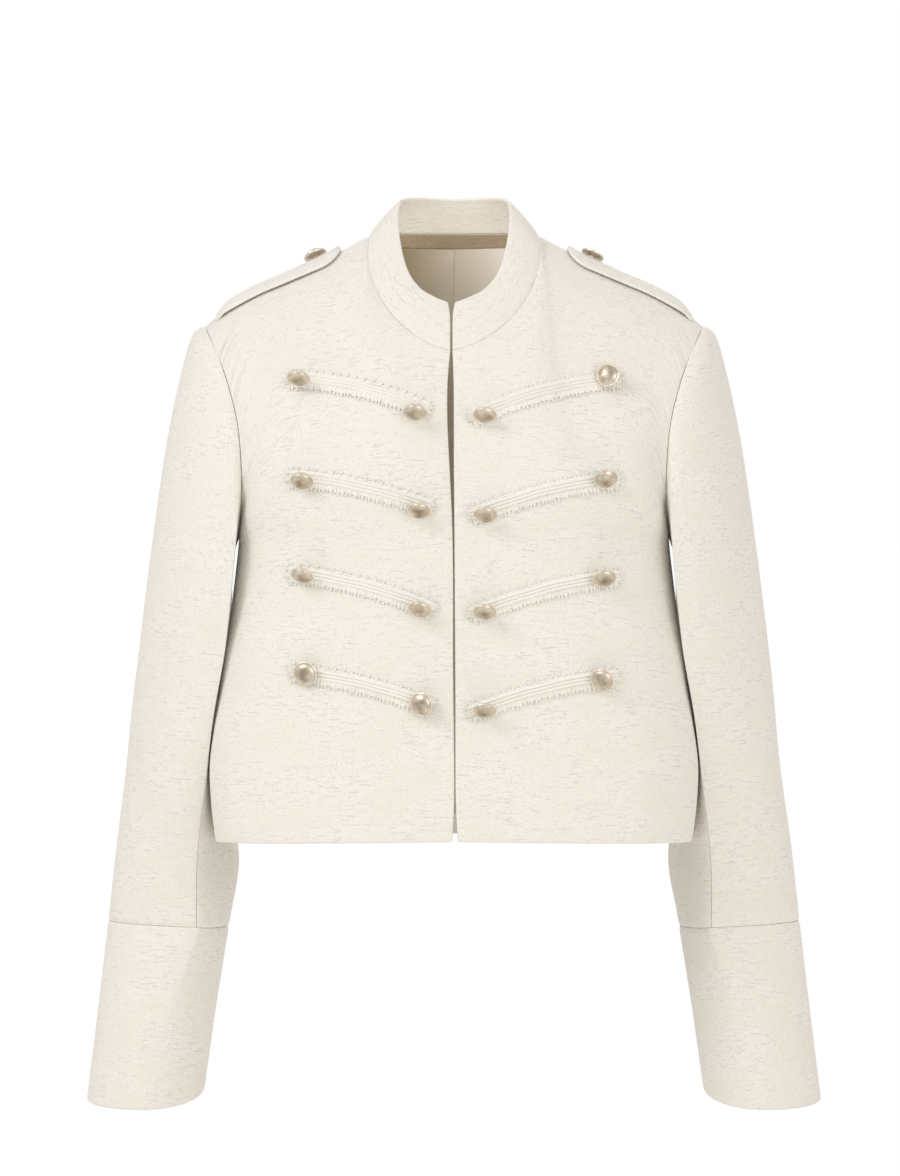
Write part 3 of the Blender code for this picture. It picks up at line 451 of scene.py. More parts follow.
def fine_rows(net, pitch, rims=(True, True)):
    """Row numbers about a pitch apart in millimetres, measured along the middle of a net, and closer together
    over the last few millimetres at each rim, where the cloth rolls over."""
    middle = net[:, net.shape[1] // 2]
    length = np.concatenate([[0], np.cumsum(np.linalg.norm(np.diff(middle, axis=0), axis=-1))])
    rim = np.array([0.0, 0.12, 0.35, 0.7, 1.2, 2.0, 3.2, 4.8])
    low = rim if rims[0] else rim[:1]
    high = length[-1] - (rim if rims[1] else rim[:1])
    inside = np.linspace(low[-1], high[-1], int((high[-1] - low[-1]) / pitch) + 2)[1:-1]
    return np.interp(np.concatenate([low, inside, high[::-1]]), length, np.arange(len(net)))


def arc(grid, axis):
    """Length run along one axis of a sheet from its first edge, in millimetres."""
    steps = np.linalg.norm(np.diff(grid, axis=axis), axis=-1)
    run = np.cumsum(steps, axis=axis)
    return np.concatenate([np.zeros_like(np.take(run, [0], axis=axis)), run], axis=axis)


def rim_drop(distance, radius, soft):
    """How far cloth has rolled under at a distance from its edge: a quarter circle of that radius, and a
    shallow slope that dies away within a few millimetres."""
    near = np.clip(radius - distance, 0, radius)
    return radius - np.sqrt(radius**2 - near**2) + soft * np.exp(-((distance / 2.4) ** 2))


def weave_faces(rows, columns, closed=False):
    """Four-sided faces between neighbouring rows and columns. A closed sheet joins its last column to its
    first."""
    index = np.arange(rows * columns).reshape(rows, columns)
    if closed:
        index = np.concatenate([index, index[:, :1]], axis=1)
    return np.stack([index[:-1, :-1], index[:-1, 1:], index[1:, 1:], index[1:, :-1]], axis=-1).reshape(-1, 4)


def shell_faces(rows, columns, closed=False):
    """Faces of a wall: outer points first, inner points after them, and rims that join the two."""
    index = np.arange(rows * columns).reshape(rows, columns)
    if closed:
        index = np.concatenate([index, index[:, :1]], axis=1)
    inner = index + rows * columns
    outer = weave_faces(rows, columns, closed)
    faces = [outer, outer[:, ::-1] + rows * columns]
    rims = [(index[0], inner[0], 1), (index[-1], inner[-1], -1)]
    if not closed:
        rims += [(index[:, 0], inner[:, 0], -1), (index[:, -1], inner[:, -1], 1)]
    for near, far, way in rims:
        faces.append(np.stack([near[:-1], far[:-1], far[1:], near[1:]], axis=-1)[:, ::way])
    return np.concatenate(faces)


def facing_out(corners, faces):
    """Turns all faces of a closed mesh round where the space they enclose comes out negative. That space is a
    sixth of the sum, over its triangles, of each one's corner vectors multiplied as a box."""
    a, b, c, d = (corners[faces[:, at]] for at in range(4))
    space = (a * np.cross(b, c)).sum() + (a * np.cross(c, d)).sum()
    return faces if space > 0 else faces[:, ::-1]


def piece(name, corners, faces, finish, replaced=(), uv=None, round_tube=1e9, sharp=50):
    """A shown piece from points in millimetres. It rides with the jacket and stands for its solids. A closed
    ring states how far it measures round."""
    mesh = bpy.data.meshes.new(name)
    corners = np.asarray(corners).reshape(-1, 3)
    mesh.from_pydata((corners * 0.001).tolist(), [], facing_out(corners, np.asarray(faces)).tolist())
    if uv is not None:
        places = np.empty(len(mesh.loops), int)
        mesh.loops.foreach_get("vertex_index", places)
        layer = mesh.uv_layers.new(name="cut")
        laid = uv.reshape(-1, 2)[places].reshape(-1, 4, 2)
        # Where a closed ring joins up, its last column of faces reads on past its end.
        laid[..., 0] += round_tube * (laid[..., 0] < laid[..., 0].max(axis=1, keepdims=True) - round_tube / 2)
        layer.data.foreach_set("uv", (laid * 0.001).ravel())
    mesh.shade_smooth()
    mesh.set_sharp_from_angle(angle=math.radians(sharp))
    mesh.materials.append(finish)
    made = bpy.data.objects.new(name, mesh)
    bpy.context.collection.objects.link(made)
    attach(made, "root")
    if replaced:
        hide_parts(*replaced)
    return made


def crease_depth(u, v, creases):
    """Soft creases: each is a trough, or a ridge where its depth is below 0, shaped as one bell curve along
    its length times another across it. Rows give its place, its turn in degrees, its length, its width and
    its depth, in millimetres."""
    depth = np.zeros_like(u)
    for at_u, at_v, turn, length, width, deep in creases:
        cosine, sine = math.cos(math.radians(turn)), math.sin(math.radians(turn))
        along = (u - at_u) * cosine + (v - at_v) * sine
        across = (v - at_v) * cosine - (u - at_u) * sine + along**2 * 0.0012
        depth += deep * np.exp(-((along / length) ** 2) - (across / width) ** 2)
    return depth


def cloth(
    name,
    net,
    inward,
    thickness,
    finish,
    replaced,
    edges,
    creases=(),
    pitch=3.5,
    grain=None,
    uv_start=(0, 0),
):
    """A wall of cloth on a net: the net's smooth surface, its creases, and its rolled edges. Edges are hem,
    top, first and last, each a seam, a fold or open. The weave is measured from the first row and column, or
    from the row and column that grain gives."""
    styles = {"seam": (0.35, 0.7), "fold": (0.88, 0.45), "soft": (0.2, 0.1)}
    rows = fine_rows(net, pitch)
    columns = fine_rows(np.swapaxes(net, 0, 1), pitch)
    outer = surface(net, rows, columns)
    way = unit(surface(inward, rows, columns))
    u, v = arc(outer, 1), arc(outer, 0)
    reach = {"hem": v, "top": v[-1:] - v, "first": u, "last": u[:, -1:] - u}
    outside = np.zeros_like(u)
    inside = np.zeros_like(u)
    for edge, style in edges.items():
        radius, soft = styles[style]
        radius *= thickness / WALL
        outside = np.maximum(outside, rim_drop(reach[edge], radius, soft))
        inside = np.maximum(inside, rim_drop(reach[edge], radius, 0))
    fold = crease_depth(u, v, creases)
    if grain:
        u = u - u[:, [int(grain[1] * (u.shape[1] - 1))]]
        v = v - v[[int(grain[0] * (v.shape[0] - 1))]]
    corners = np.stack(
        [outer + way * (outside + fold)[..., None], outer + way * (thickness - inside + fold)[..., None]]
    )
    uv = np.stack([np.stack([u + uv_start[0], v + uv_start[1]], axis=-1)] * 2)
    made = piece(name, corners, shell_faces(*u.shape), finish, replaced, uv)
    return made, corners[0]


def parted(net, *edges, gap=SEAM_GAP):
    """A net whose named edges are drawn back by half of their seam's gap."""
    places = {
        "hem": (np.s_[0], np.s_[1]),
        "top": (np.s_[-1], np.s_[-2]),
        "first": (np.s_[:, 0], np.s_[:, 1]),
        "last": (np.s_[:, -1], np.s_[:, -2]),
    }
    net = net.copy()
    for name in edges:
        edge, neighbour = places[name]
        net[edge] += unit(net[neighbour] - net[edge]) * gap / 2
    return net


def tweed_finish(name, *colours):
    """Slub tweed, cotton with a little wool. Thick uneven yarns lie across and a few stand upright, so it has
    short raised streaks and no shine but a faint bloom of fibre ends. Real yarns are 0.8 mm apart; they are
    drawn 1.3 mm apart so that they show. Colours: two of the ground, one of the slubs, and one of painted
    shade in the hollows of the crepe."""
    base_colours = [linear(colour) for colour in colours]
    made = bpy.data.materials.new(name)
    made.use_nodes = True
    tree = made.node_tree
    shader = tree.nodes["Principled BSDF"]
    place = node(tree, "ShaderNodeUVMap", uv_map="cut").outputs[0]

    def yarn(across, up, detail, distortion=0.0, turn=0.0):
        """Noise stretched over a patch of so many millimetres across and up."""
        mapping = node(
            tree,
            "ShaderNodeMapping",
            {"Vector": place, "Scale": (1000 / across, 1000 / up, 1), "Rotation": (0, 0, math.radians(turn))},
        )
        return node(
            tree,
            "ShaderNodeTexNoise",
            {"Vector": mapping.outputs[0], "Scale": 1.0, "Detail": detail, "Distortion": distortion},
        ).outputs["Fac"]

    def ramp(value, low, high):
        """0 below low, 1 above high, and an even climb between."""
        return node(
            tree,
            "ShaderNodeMapRange",
            {"Value": value, "From Min": low, "From Max": high},
            interpolation_type="SMOOTHSTEP",
        ).outputs[0]

    def sums(first, second, operation="ADD"):
        return node(tree, "ShaderNodeMath", {0: first, 1: second}, operation=operation).outputs[0]

    slub = ramp(yarn(11, 1.7, 2.0, 0.3), 0.57, 0.72)
    upright = ramp(yarn(1.6, 9, 2.0, 0.3), 0.62, 0.76)
    crepe = yarn(2.6, 1.3, 3.0, 0.4)
    patches = yarn(46, 30, 2.0)
    patch_share = ramp(patches, 0.42, 0.6)
    height = sums(sums(slub, 0.55, "MULTIPLY"), sums(upright, 0.3, "MULTIPLY"))
    height = sums(height, sums(crepe, 0.55, "MULTIPLY"))
    strength = sums(sums(patch_share, 0.5, "MULTIPLY"), 0.5)
    relief = sums(height, strength, "MULTIPLY")
    bump = node(tree, "ShaderNodeBump", {"Height": relief, "Distance": 0.0011, "Strength": 0.75})
    base = node(
        tree,
        "ShaderNodeMix",
        {0: ramp(patches, 0.3, 0.7), 6: base_colours[0], 7: base_colours[1]},
        data_type="RGBA",
    ).outputs[2]
    colour = node(
        tree, "ShaderNodeMix", {0: sums(slub, 0.5, "MULTIPLY"), 6: base, 7: base_colours[2]}, data_type="RGBA"
    ).outputs[2]
    # Painted shade: a darker tone is mixed into the hollows of the crepe.
    hollow_painted_shade = node(
        tree,
        "ShaderNodeMix",
        {0: sums(ramp(crepe, 0.5, 0.3), 0.5, "MULTIPLY"), 6: colour, 7: base_colours[3]},
        data_type="RGBA",
    ).outputs[2]
    tree.links.new(hollow_painted_shade, shader.inputs["Base Color"])
    tree.links.new(bump.outputs[0], shader.inputs["Normal"])
    shader.inputs["Roughness"].default_value = 0.88
    shader.inputs["Sheen Weight"].default_value = 0.12
    shader.inputs["Sheen Roughness"].default_value = 0.4
    shader.inputs["Specular IOR Level"].default_value = 0.25
    return made


tweed = tweed_finish("ivory_slub_tweed", "#EFECE5", "#F3F0EB", "#FCFAF6", "#E1D9CD")
BODY_EDGES = {"hem": "fold", "top": "seam", "first": "fold", "last": "seam"}
FRONT_CREASES = {
    -1: (
        (172, 70, 82, 90, 18, 1.0),
        (138, 60, 96, 70, 20, -0.6),
        (96, 40, 84, 60, 22, 0.5),
        (150, 262, 60, 60, 15, 0.7),
        (60, 130, 8, 70, 14, 0.3),
    ),
    1: (
        (180, 90, 98, 90, 18, 0.8),
        (146, 60, 84, 70, 20, -0.5),
        (150, 255, 118, 55, 14, 0.7),
        (90, 150, 96, 70, 20, -0.3),
        (70, 60, -6, 60, 15, 0.3),
    ),
}
BACK_CREASES = (
    (120, 250, 62, 70, 16, 1.5),
    (330, 262, 116, 60, 15, 1.7),
    (225, 110, 84, 110, 22, 0.8),
    (160, 70, 95, 80, 18, -0.7),
    (300, 90, 82, 70, 16, 0.9),
    (226, 430, 2, 60, 12, 0.6),
)
back_net, back_inward = back_sheet()
body_nets = {"back": back_net}
shown_fronts = {}
for name, side in (("front_right", -1), ("front_left", 1)):
    net, inward = front_sheet(side)
    mirror = np.array([side, 1, 1])
    back_side = back_inward[:BODY_STEPS, 0 if side < 0 else -1]
    both = unit(inward[:BODY_STEPS, -1] + back_side * mirror)
    inward[:BODY_STEPS, -1] = both
    back_side[:] = both * mirror
    body_nets[name] = net * mirror
    made, shown_fronts[side] = cloth(
        f"{name}_cloth",
        parted(net, "last", "top") * mirror,
        inward * mirror,
        WALL,
        tweed,
        [name],
        BODY_EDGES,
        FRONT_CREASES[side],
        uv_start=(700 + 400 * side, 0),
    )
made, shown_back = cloth(
    "back_cloth",
    parted(back_net, "first", "last", "top"),
    back_inward,
    WALL,
    tweed,
    ["back"],
    {"hem": "fold", "top": "seam", "first": "seam", "last": "seam"},
    BACK_CREASES,
    grain=(0, 0.5),
    uv_start=(2000, 0),
)

# Sleeves and cuffs. Two-piece sleeves of the same tweed, a top and an under piece with a seam in front and
# one behind. The front seam stands as a crisp ridge where it hangs beside the body. A deep cuff is sewn on.
SLEEVE_ROWS = (0, 0.5, 1, 1.5, 2, 3, 4, 5, 6, 7, 8, 9, 10)
CUFF_ROWS = (10, 10.5, 11, 11.5, 12)
CUFF_WALL = 2.4
BODY_CLEARANCE = 2.5


def clear_of_body(tube):
    """Moves the inner side of a sleeve out to just clear of the body beside it."""
    x, y, z = np.moveaxis(tube, -1, 0)
    half_width = smooth(z, BODY["height"], BODY["half_width"])
    widest_y = smooth(z, BODY["height"], BODY["widest_y"])
    front = widest_y - smooth(z, BODY["height"], BODY["front_y"])
    behind = smooth(z, BODY["height"], BODY["back_y"]) - widest_y
    squareness = np.where(y < widest_y, FRONT_SQUARENESS, BACK_SQUARENESS)
    away = np.clip(np.abs(y - widest_y) / np.where(y < widest_y, front, behind), 0, 1)
    body_x = half_width * (1 - away**squareness) ** (1 / squareness)
    beside = (z < ARMPIT_HEIGHT) & (z > HEM_SIDE - 25)
    least = body_x + BODY_CLEARANCE * np.clip((ARMPIT_HEIGHT - z) / 20, 0, 1)
    tube[..., 0] = np.where(beside & (x < least), least, x)
    return tube


angles = np.linspace(0, 360, ARMHOLE_STEPS + 1)[:-1]
tube = np.stack([sleeve_section(section, angles) for section in SLEEVE_ROWS + CUFF_ROWS[1:]])
tube[..., 0] += SEAM_GAP
tube = clear_of_body(tube)
wrapped = np.concatenate([tube[:, -2:], tube, tube[:, :2]], axis=1)
tube_inward = inward_normals(wrapped, tube.mean(axis=1, keepdims=True))[:, 2:-2]
tube_inward[0] = armhole_inward(angles)
quarter = ARMHOLE_STEPS // 4
top_columns = np.arange(-quarter, quarter + 1) % ARMHOLE_STEPS
under_columns = np.arange(quarter, 3 * quarter + 1)
sleeve_rows = len(SLEEVE_ROWS)
SLEEVE_EDGES = {"hem": "seam", "top": "seam", "first": "seam", "last": "seam"}
TOP_CREASES = {
    -1: (
        (118, 330, 68, 60, 12, 0.9),
        (150, 372, 96, 70, 10, 1.0),
        (90, 300, 80, 70, 14, -0.6),
        (60, 330, 100, 50, 16, 0.5),
        (120, 60, 78, 45, 9, 0.6),
    ),
    1: (
        (110, 320, 112, 60, 13, 0.9),
        (84, 366, 86, 60, 11, 0.9),
        (140, 290, 98, 70, 15, -0.6),
        (60, 250, 80, 60, 16, 0.4),
        (120, 56, 100, 45, 9, 0.6),
    ),
}
UNDER_CREASES = {
    -1: ((60, 200, 66, 50, 12, 1.3), (75, 250, 104, 45, 11, 1.1), (50, 60, 10, 30, 9, 0.9)),
    1: ((70, 210, 112, 50, 13, 1.2), (55, 262, 74, 45, 10, 1.2), (56, 70, -8, 30, 9, 0.9)),
}
CUFF_CREASES = ((40, 70, 84, 60, 16, 0.5), (215, 80, 100, 60, 12, 0.7), (140, 50, 88, 45, 16, -0.5))
for name, side in (("right", -1), ("left", 1)):
    mirror = np.array([side, 1, 1])
    for part, columns, creases, flat in (
        ("top", top_columns, TOP_CREASES, (0.22, 0.5)),
        ("under", under_columns, UNDER_CREASES, (0.14, 0.4)),
    ):
        net = parted(tube[:sleeve_rows, columns], "hem", "top", "first", "last")
        made, _ = cloth(
            f"{part}_sleeve_{name}_cloth",
            net * mirror,
            tube_inward[:sleeve_rows, columns] * mirror,
            WALL,
            tweed,
            [f"{part}_sleeve_{name}"],
            SLEEVE_EDGES,
            creases[side],
            grain=(1, 0.5),
            uv_start=(3000 + 500 * side + (250 if part == "top" else 0), 600),
        )

    net = parted(tube[sleeve_rows - 1 :], "hem")
    ring = np.concatenate([net[:, -3:], net, net[:, :4]], axis=1)
    inward = tube_inward[sleeve_rows - 1 :]
    inward_ring = np.concatenate([inward[:, -3:], inward, inward[:, :4]], axis=1)
    rows = fine_rows(net, 3.5)
    columns = 3 + np.linspace(0, ARMHOLE_STEPS, 91)
    outer = surface(ring, rows, columns)
    way = unit(surface(inward_ring, rows, columns))
    u, v = arc(outer, 1), arc(outer, 0)
    top_drop = rim_drop(v, 0.4, 0.7)
    open_drop = rim_drop(v[-1:] - v, 1.1, 0.3)
    fold = crease_depth(u, v, CUFF_CREASES)
    outside = np.maximum(top_drop, open_drop) + fold
    inside = np.maximum(rim_drop(v, 0.4, 0), rim_drop(v[-1:] - v, 1.1, 0.3)) - fold
    corners = np.stack([outer + way * outside[..., None], outer + way * (CUFF_WALL - inside)[..., None]])
    uv = np.stack([np.stack([u + 300 * side, v], axis=-1)] * 2)
    made = piece(
        f"cuff_{name}_cloth",
        corners[:, :, :-1] * mirror,
        shell_faces(u.shape[0], u.shape[1] - 1, closed=True),
        tweed,
        [f"cuff_{name}"],
        uv[:, :, :-1],
        round_tube=u[:, -1].mean(),
    )

# Stand collar. Two layers of tweed sewn edge to edge and turned, so its upper edge is a soft roll. It stands
# on the neck seam, leans in towards the neck and has rounded corners in front.
COLLAR_WALL = 2.6
COLLAR_ROWS = 4
turn = np.concatenate(
    [
        np.linspace(180, NECK_POINT_TURN, NECK_FRONT_STEPS + 1),
        np.linspace(NECK_POINT_TURN, 0, NECK_BACK_STEPS + 1)[1:],
    ]
)
rise = np.linspace(0, 1, COLLAR_ROWS + 1)[:, None, None]
half = neck_loop(turn, SEAM_LOOP, "seam_z")[None] * (1 - rise)
half += neck_loop(turn, EDGE_LOOP, "edge_z")[None] * rise
bow = unit(points(np.sin(np.radians(turn)), np.cos(np.radians(turn)), 0.4))
half += 1.5 * np.sin(rise * math.pi) * bow[None]
halves = []
for side in (-1, 1):
    sheet = half.copy()
    ease = np.clip(1 - np.arange(len(turn)) / NECK_FRONT_STEPS, 0, 1) ** 2
    sheet[:, :, 0] += half_gap(np.array(float(NECK["seam_z"][-1])), side) * ease
    sheet[-1, 0] += (1.8, 0, -1.0)
    sheet[-2, 0] += (0.3, 0, 0)
    halves.append(sheet * (side, 1, 1))
net = np.concatenate([halves[0], halves[1][:, -2::-1]], axis=1)
inward = inward_normals(net, np.array([0.0, EDGE_LOOP["middle_y"], NECK["edge_z"][-1]]))
both_turns = np.concatenate([turn, turn[-2::-1]])
mirror = np.ones((len(both_turns), 3))
mirror[: len(turn), 0] = -1
inward[0] = neck_inward(both_turns) * mirror
made, _ = cloth(
    "collar_cloth",
    parted(net, "hem"),
    inward,
    COLLAR_WALL,
    tweed,
    ["collar"],
    {"hem": "seam", "top": "fold", "first": "fold", "last": "fold"},
    ((120, 20, 4, 40, 9, 0.5), (250, 18, -4, 45, 8, 0.5), (190, 24, 0, 60, 7, -0.3)),
    pitch=2.5,
    grain=(0, 0.5),
    uv_start=(4200, 0),
)

# Back neck facing and lining. A tweed band faces the back neck inside the collar, its tan colours painted
# shade. Below it hangs a beige satin lining with a soft pleat down its middle, sewn in by hand; painted shade
# darkens it towards the wearer's right.
INSIDE_GAP = 0.8
LINING_WALL = 1.0
FACING_DEPTH = 11.5
LINING_HEM = 16


def satin_finish():
    """Acetate satin: smooth, with a low sheen that runs across the warp. Its colour carries painted shade and
    light over 90 mm across the neck: deep beige towards the wearer's right, in the collar's shadow, and pale
    towards the wearer's left, where the light falls."""
    made = bpy.data.materials.new("beige_acetate_satin")
    made.use_nodes = True
    tree = made.node_tree
    shader = tree.nodes["Principled BSDF"]
    place = node(tree, "ShaderNodeUVMap", uv_map="cut").outputs[0]
    mapping = node(tree, "ShaderNodeMapping", {"Vector": place, "Scale": (1000 / 0.9, 1000 / 14, 1)})
    thread = node(tree, "ShaderNodeTexNoise", {"Vector": mapping.outputs[0], "Scale": 1.0, "Detail": 2.0})
    # Painted shade and light across the neck: the colour runs from dark at -45 mm to pale at +45 mm.
    spot = node(tree, "ShaderNodeTexCoord").outputs["Object"]
    beside = node(tree, "ShaderNodeSeparateXYZ", {0: spot}).outputs[0]
    shade = node(tree, "ShaderNodeMapRange", {"Value": beside, "From Min": -0.045, "From Max": 0.045})
    colour = node(
        tree,
        "ShaderNodeMix",
        {0: shade.outputs[0], 6: linear("#988869"), 7: linear("#FAF6F0")},
        data_type="RGBA",
    )
    ribbed = thread.outputs["Fac"]
    bump = node(tree, "ShaderNodeBump", {"Height": ribbed, "Distance": 0.0002, "Strength": 0.4})
    tree.links.new(colour.outputs[2], shader.inputs["Base Color"])
    tree.links.new(bump.outputs[0], shader.inputs["Normal"])
    shader.inputs["Roughness"].default_value = 0.42
    shader.inputs["Sheen Weight"].default_value = 0.2
    return made


behind = back_net + back_inward * (WALL + INSIDE_GAP)
fall = np.linalg.norm(behind[-2] - behind[-1], axis=-1, keepdims=True)


def below_top(depth):
    """The inside of the back at a depth below its upper edge, and the way into the jacket there."""
    share = depth / fall
    way = back_inward[-1] * (1 - share) + back_inward[-2] * share
    return behind[-1] * (1 - share) + behind[-2] * share, unit(way)


neck = slice(SHOULDER_STEPS + 1, SHOULDER_STEPS + 2 * NECK_BACK_STEPS)
layers = [below_top(depth) for depth in (FACING_DEPTH, FACING_DEPTH / 2, SEAM_GAP)]
places = np.stack([place[neck] for place, _ in layers])
ways = np.stack([way[neck] for _, way in layers])
# The facing's tan colours are the ivory tweed with painted shade, as it lies in the collar's shadow.
made, _ = cloth(
    "back_neck_facing_cloth",
    places + ways * INSIDE_GAP,
    ways,
    LINING_WALL,
    tweed_finish("slub_tweed_painted_in_shade", "#9F9078", "#AB9C85", "#BFB29C", "#877458"),
    ["back_neck_facing"],
    {"hem": "fold", "top": "seam", "first": "seam", "last": "seam"},
    pitch=2.0,
    uv_start=(5200, 0),
)

top, top_way = below_top(FACING_DEPTH + SEAM_GAP)
top += 2 * top_way * INSIDE_GAP
share = LINING_HEM / np.linalg.norm(behind[1] - behind[0], axis=-1, keepdims=True)
hem = behind[0] * (1 - share) + behind[1] * share
net = np.concatenate([hem[None], behind[1:-1], top[None]])[:, 1:-1]
ways = np.concatenate([back_inward[:1], back_inward[1:-1], top_way[None]])[:, 1:-1]
rows = fine_rows(net, 6)
pleat_columns = net.shape[1] // 2 + np.delete(np.linspace(-0.35, 0.35, 29), 14)
columns = np.sort(np.concatenate([fine_rows(np.swapaxes(net, 0, 1), 5), pleat_columns]))
outer = surface(net, rows, columns)
way = unit(surface(ways, rows, columns))
u, v = arc(outer, 1), arc(outer, 0)
from_middle = outer[..., 0]
# The pleat laps to one side: it rises slowly from the left and falls off sharply just right of the middle.
lap = 2.2 * np.exp(-np.clip(-from_middle, 0, None) / 9) * (0.5 - 0.5 * np.tanh(from_middle * 2.2))
lap *= np.clip((v[-1:] - v) / 8, 0.35, 1)
LINING_CREASES = ((90, 300, 82, 80, 12, -1.0), (255, 320, 100, 80, 12, -1.2), (120, 120, 90, 90, 14, -1.0))
sag = crease_depth(u, v, LINING_CREASES)
inner = way * (LINING_WALL + lap - sag)[..., None]
corners = np.stack([outer + way * (lap * 0.6 - np.minimum(sag, 0))[..., None], outer + inner])
uv = np.stack([np.stack([u, v], axis=-1)] * 2)
faces = shell_faces(*u.shape)
made = piece("back_lining_cloth", corners, faces, satin_finish(), ["back_lining"], uv)

# Braid trims. Eight short tapes, four on each front, sewn on in shallow bows. Each has three corded ribs of
# undyed cotton, and both long edges and both ends are frayed into soft strands.
LAY_GAP = 0.6
TRIMS = table(
    "side row outer_x outer_z inner_x inner_z bow",
    (-1, 1, 128.5, -107, 20, -133, 5.5),
    (-1, 2, 127.5, -185, 18, -209, 4.5),
    (-1, 3, 127.5, -259, 16, -288, 5),
    (-1, 4, 125.5, -336, 16, -363, 4.5),
    (1, 1, 130, -107, 13, -139, 5.5),
    (1, 2, 127.5, -186.5, 13, -215, 4.5),
    (1, 3, 127, -262, 12.5, -291.5, 4.5),
    (1, 4, 126, -339.5, 12.5, -367.5, 5),
)
BRAID_HALF_WIDTH = 4.4
RIB_SPACING = 2.6
RIB_CREST = 2.1
BUTTON_INSET = 9.5


def cotton_finish():
    """Undyed cotton yarn, twisted and brushed: nearly white, dull, and fuzzy enough to glow at its edges."""
    made = bpy.data.materials.new("undyed_cotton_yarn")
    made.use_nodes = True
    tree = made.node_tree
    shader = tree.nodes["Principled BSDF"]
    place = node(tree, "ShaderNodeTexCoord").outputs["Object"]
    fibre = node(tree, "ShaderNodeTexNoise", {"Vector": place, "Scale": 1000 / 1.2, "Detail": 3.0})
    colour = node(
        tree,
        "ShaderNodeMix",
        {0: fibre.outputs["Fac"], 6: linear("#F0EDE6"), 7: linear("#FAF8F4")},
        data_type="RGBA",
    )
    bump = node(tree, "ShaderNodeBump", {"Height": fibre.outputs["Fac"], "Distance": 0.0003, "Strength": 0.6})
    tree.links.new(colour.outputs[2], shader.inputs["Base Color"])
    tree.links.new(bump.outputs[0], shader.inputs["Normal"])
    shader.inputs["Roughness"].default_value = 0.9
    shader.inputs["Sheen Weight"].default_value = 0.2
    return made


def touch_all(tree, starts, way):
    """Where straight lines from an array of starts first meet a surface. A line that slips through a seam is
    read again just beside it."""
    found = []
    for start in starts.reshape(-1, 3):
        beside = (Vector(start) + Vector((aside, aside, 0)) for aside in (0, 0.6, -0.6, 1.5, -1.5, 3, -3))
        met = (tree.ray_cast(spot, Vector(way))[0] for spot in beside)
        found.append(next(place for place in met if place))
    return np.array([tuple(place) for place in found]).reshape(starts.shape)


def skin_of(*grids):
    """The four-sided faces of one or more sheets, to lay other pieces on."""
    corners = np.concatenate([grid.reshape(-1, 3) for grid in grids])
    starts = np.cumsum([0] + [grid.shape[0] * grid.shape[1] for grid in grids])
    faces = np.concatenate([weave_faces(*grid.shape[:2]) + start for grid, start in zip(grids, starts)])
    return BVHTree.FromPolygons(corners.tolist(), faces.tolist())


def tubes(spines, radii, sides=4):
    """Thin strands: each spine's points, with a ring of corners round each. Rings lie square to the spine and
    shrink by the radii. Returns corners and four-sided faces, which close both ends too."""
    run = unit(np.gradient(spines, axis=1))
    level = unit(np.cross(run, np.array([0.31, 0.17, 0.94])))
    other = np.cross(run, level)
    turns = np.arange(sides) * 2 * math.pi / sides
    ring = level[:, :, None] * np.cos(turns)[:, None] + other[:, :, None] * np.sin(turns)[:, None]
    corners = spines[:, :, None] + ring * radii[..., None, None]
    count, length = spines.shape[:2]
    index = np.arange(count * length * sides).reshape(count, length, sides)
    ends = np.concatenate([index[:, 0, ::-1], index[:, -1]])
    index = np.concatenate([index, index[..., :1]], axis=2)
    faces = np.stack([index[:, :-1, :-1], index[:, :-1, 1:], index[:, 1:, 1:], index[:, 1:, :-1]], axis=-1)
    return corners.reshape(-1, 3), np.concatenate([faces.reshape(-1, 4), ends])


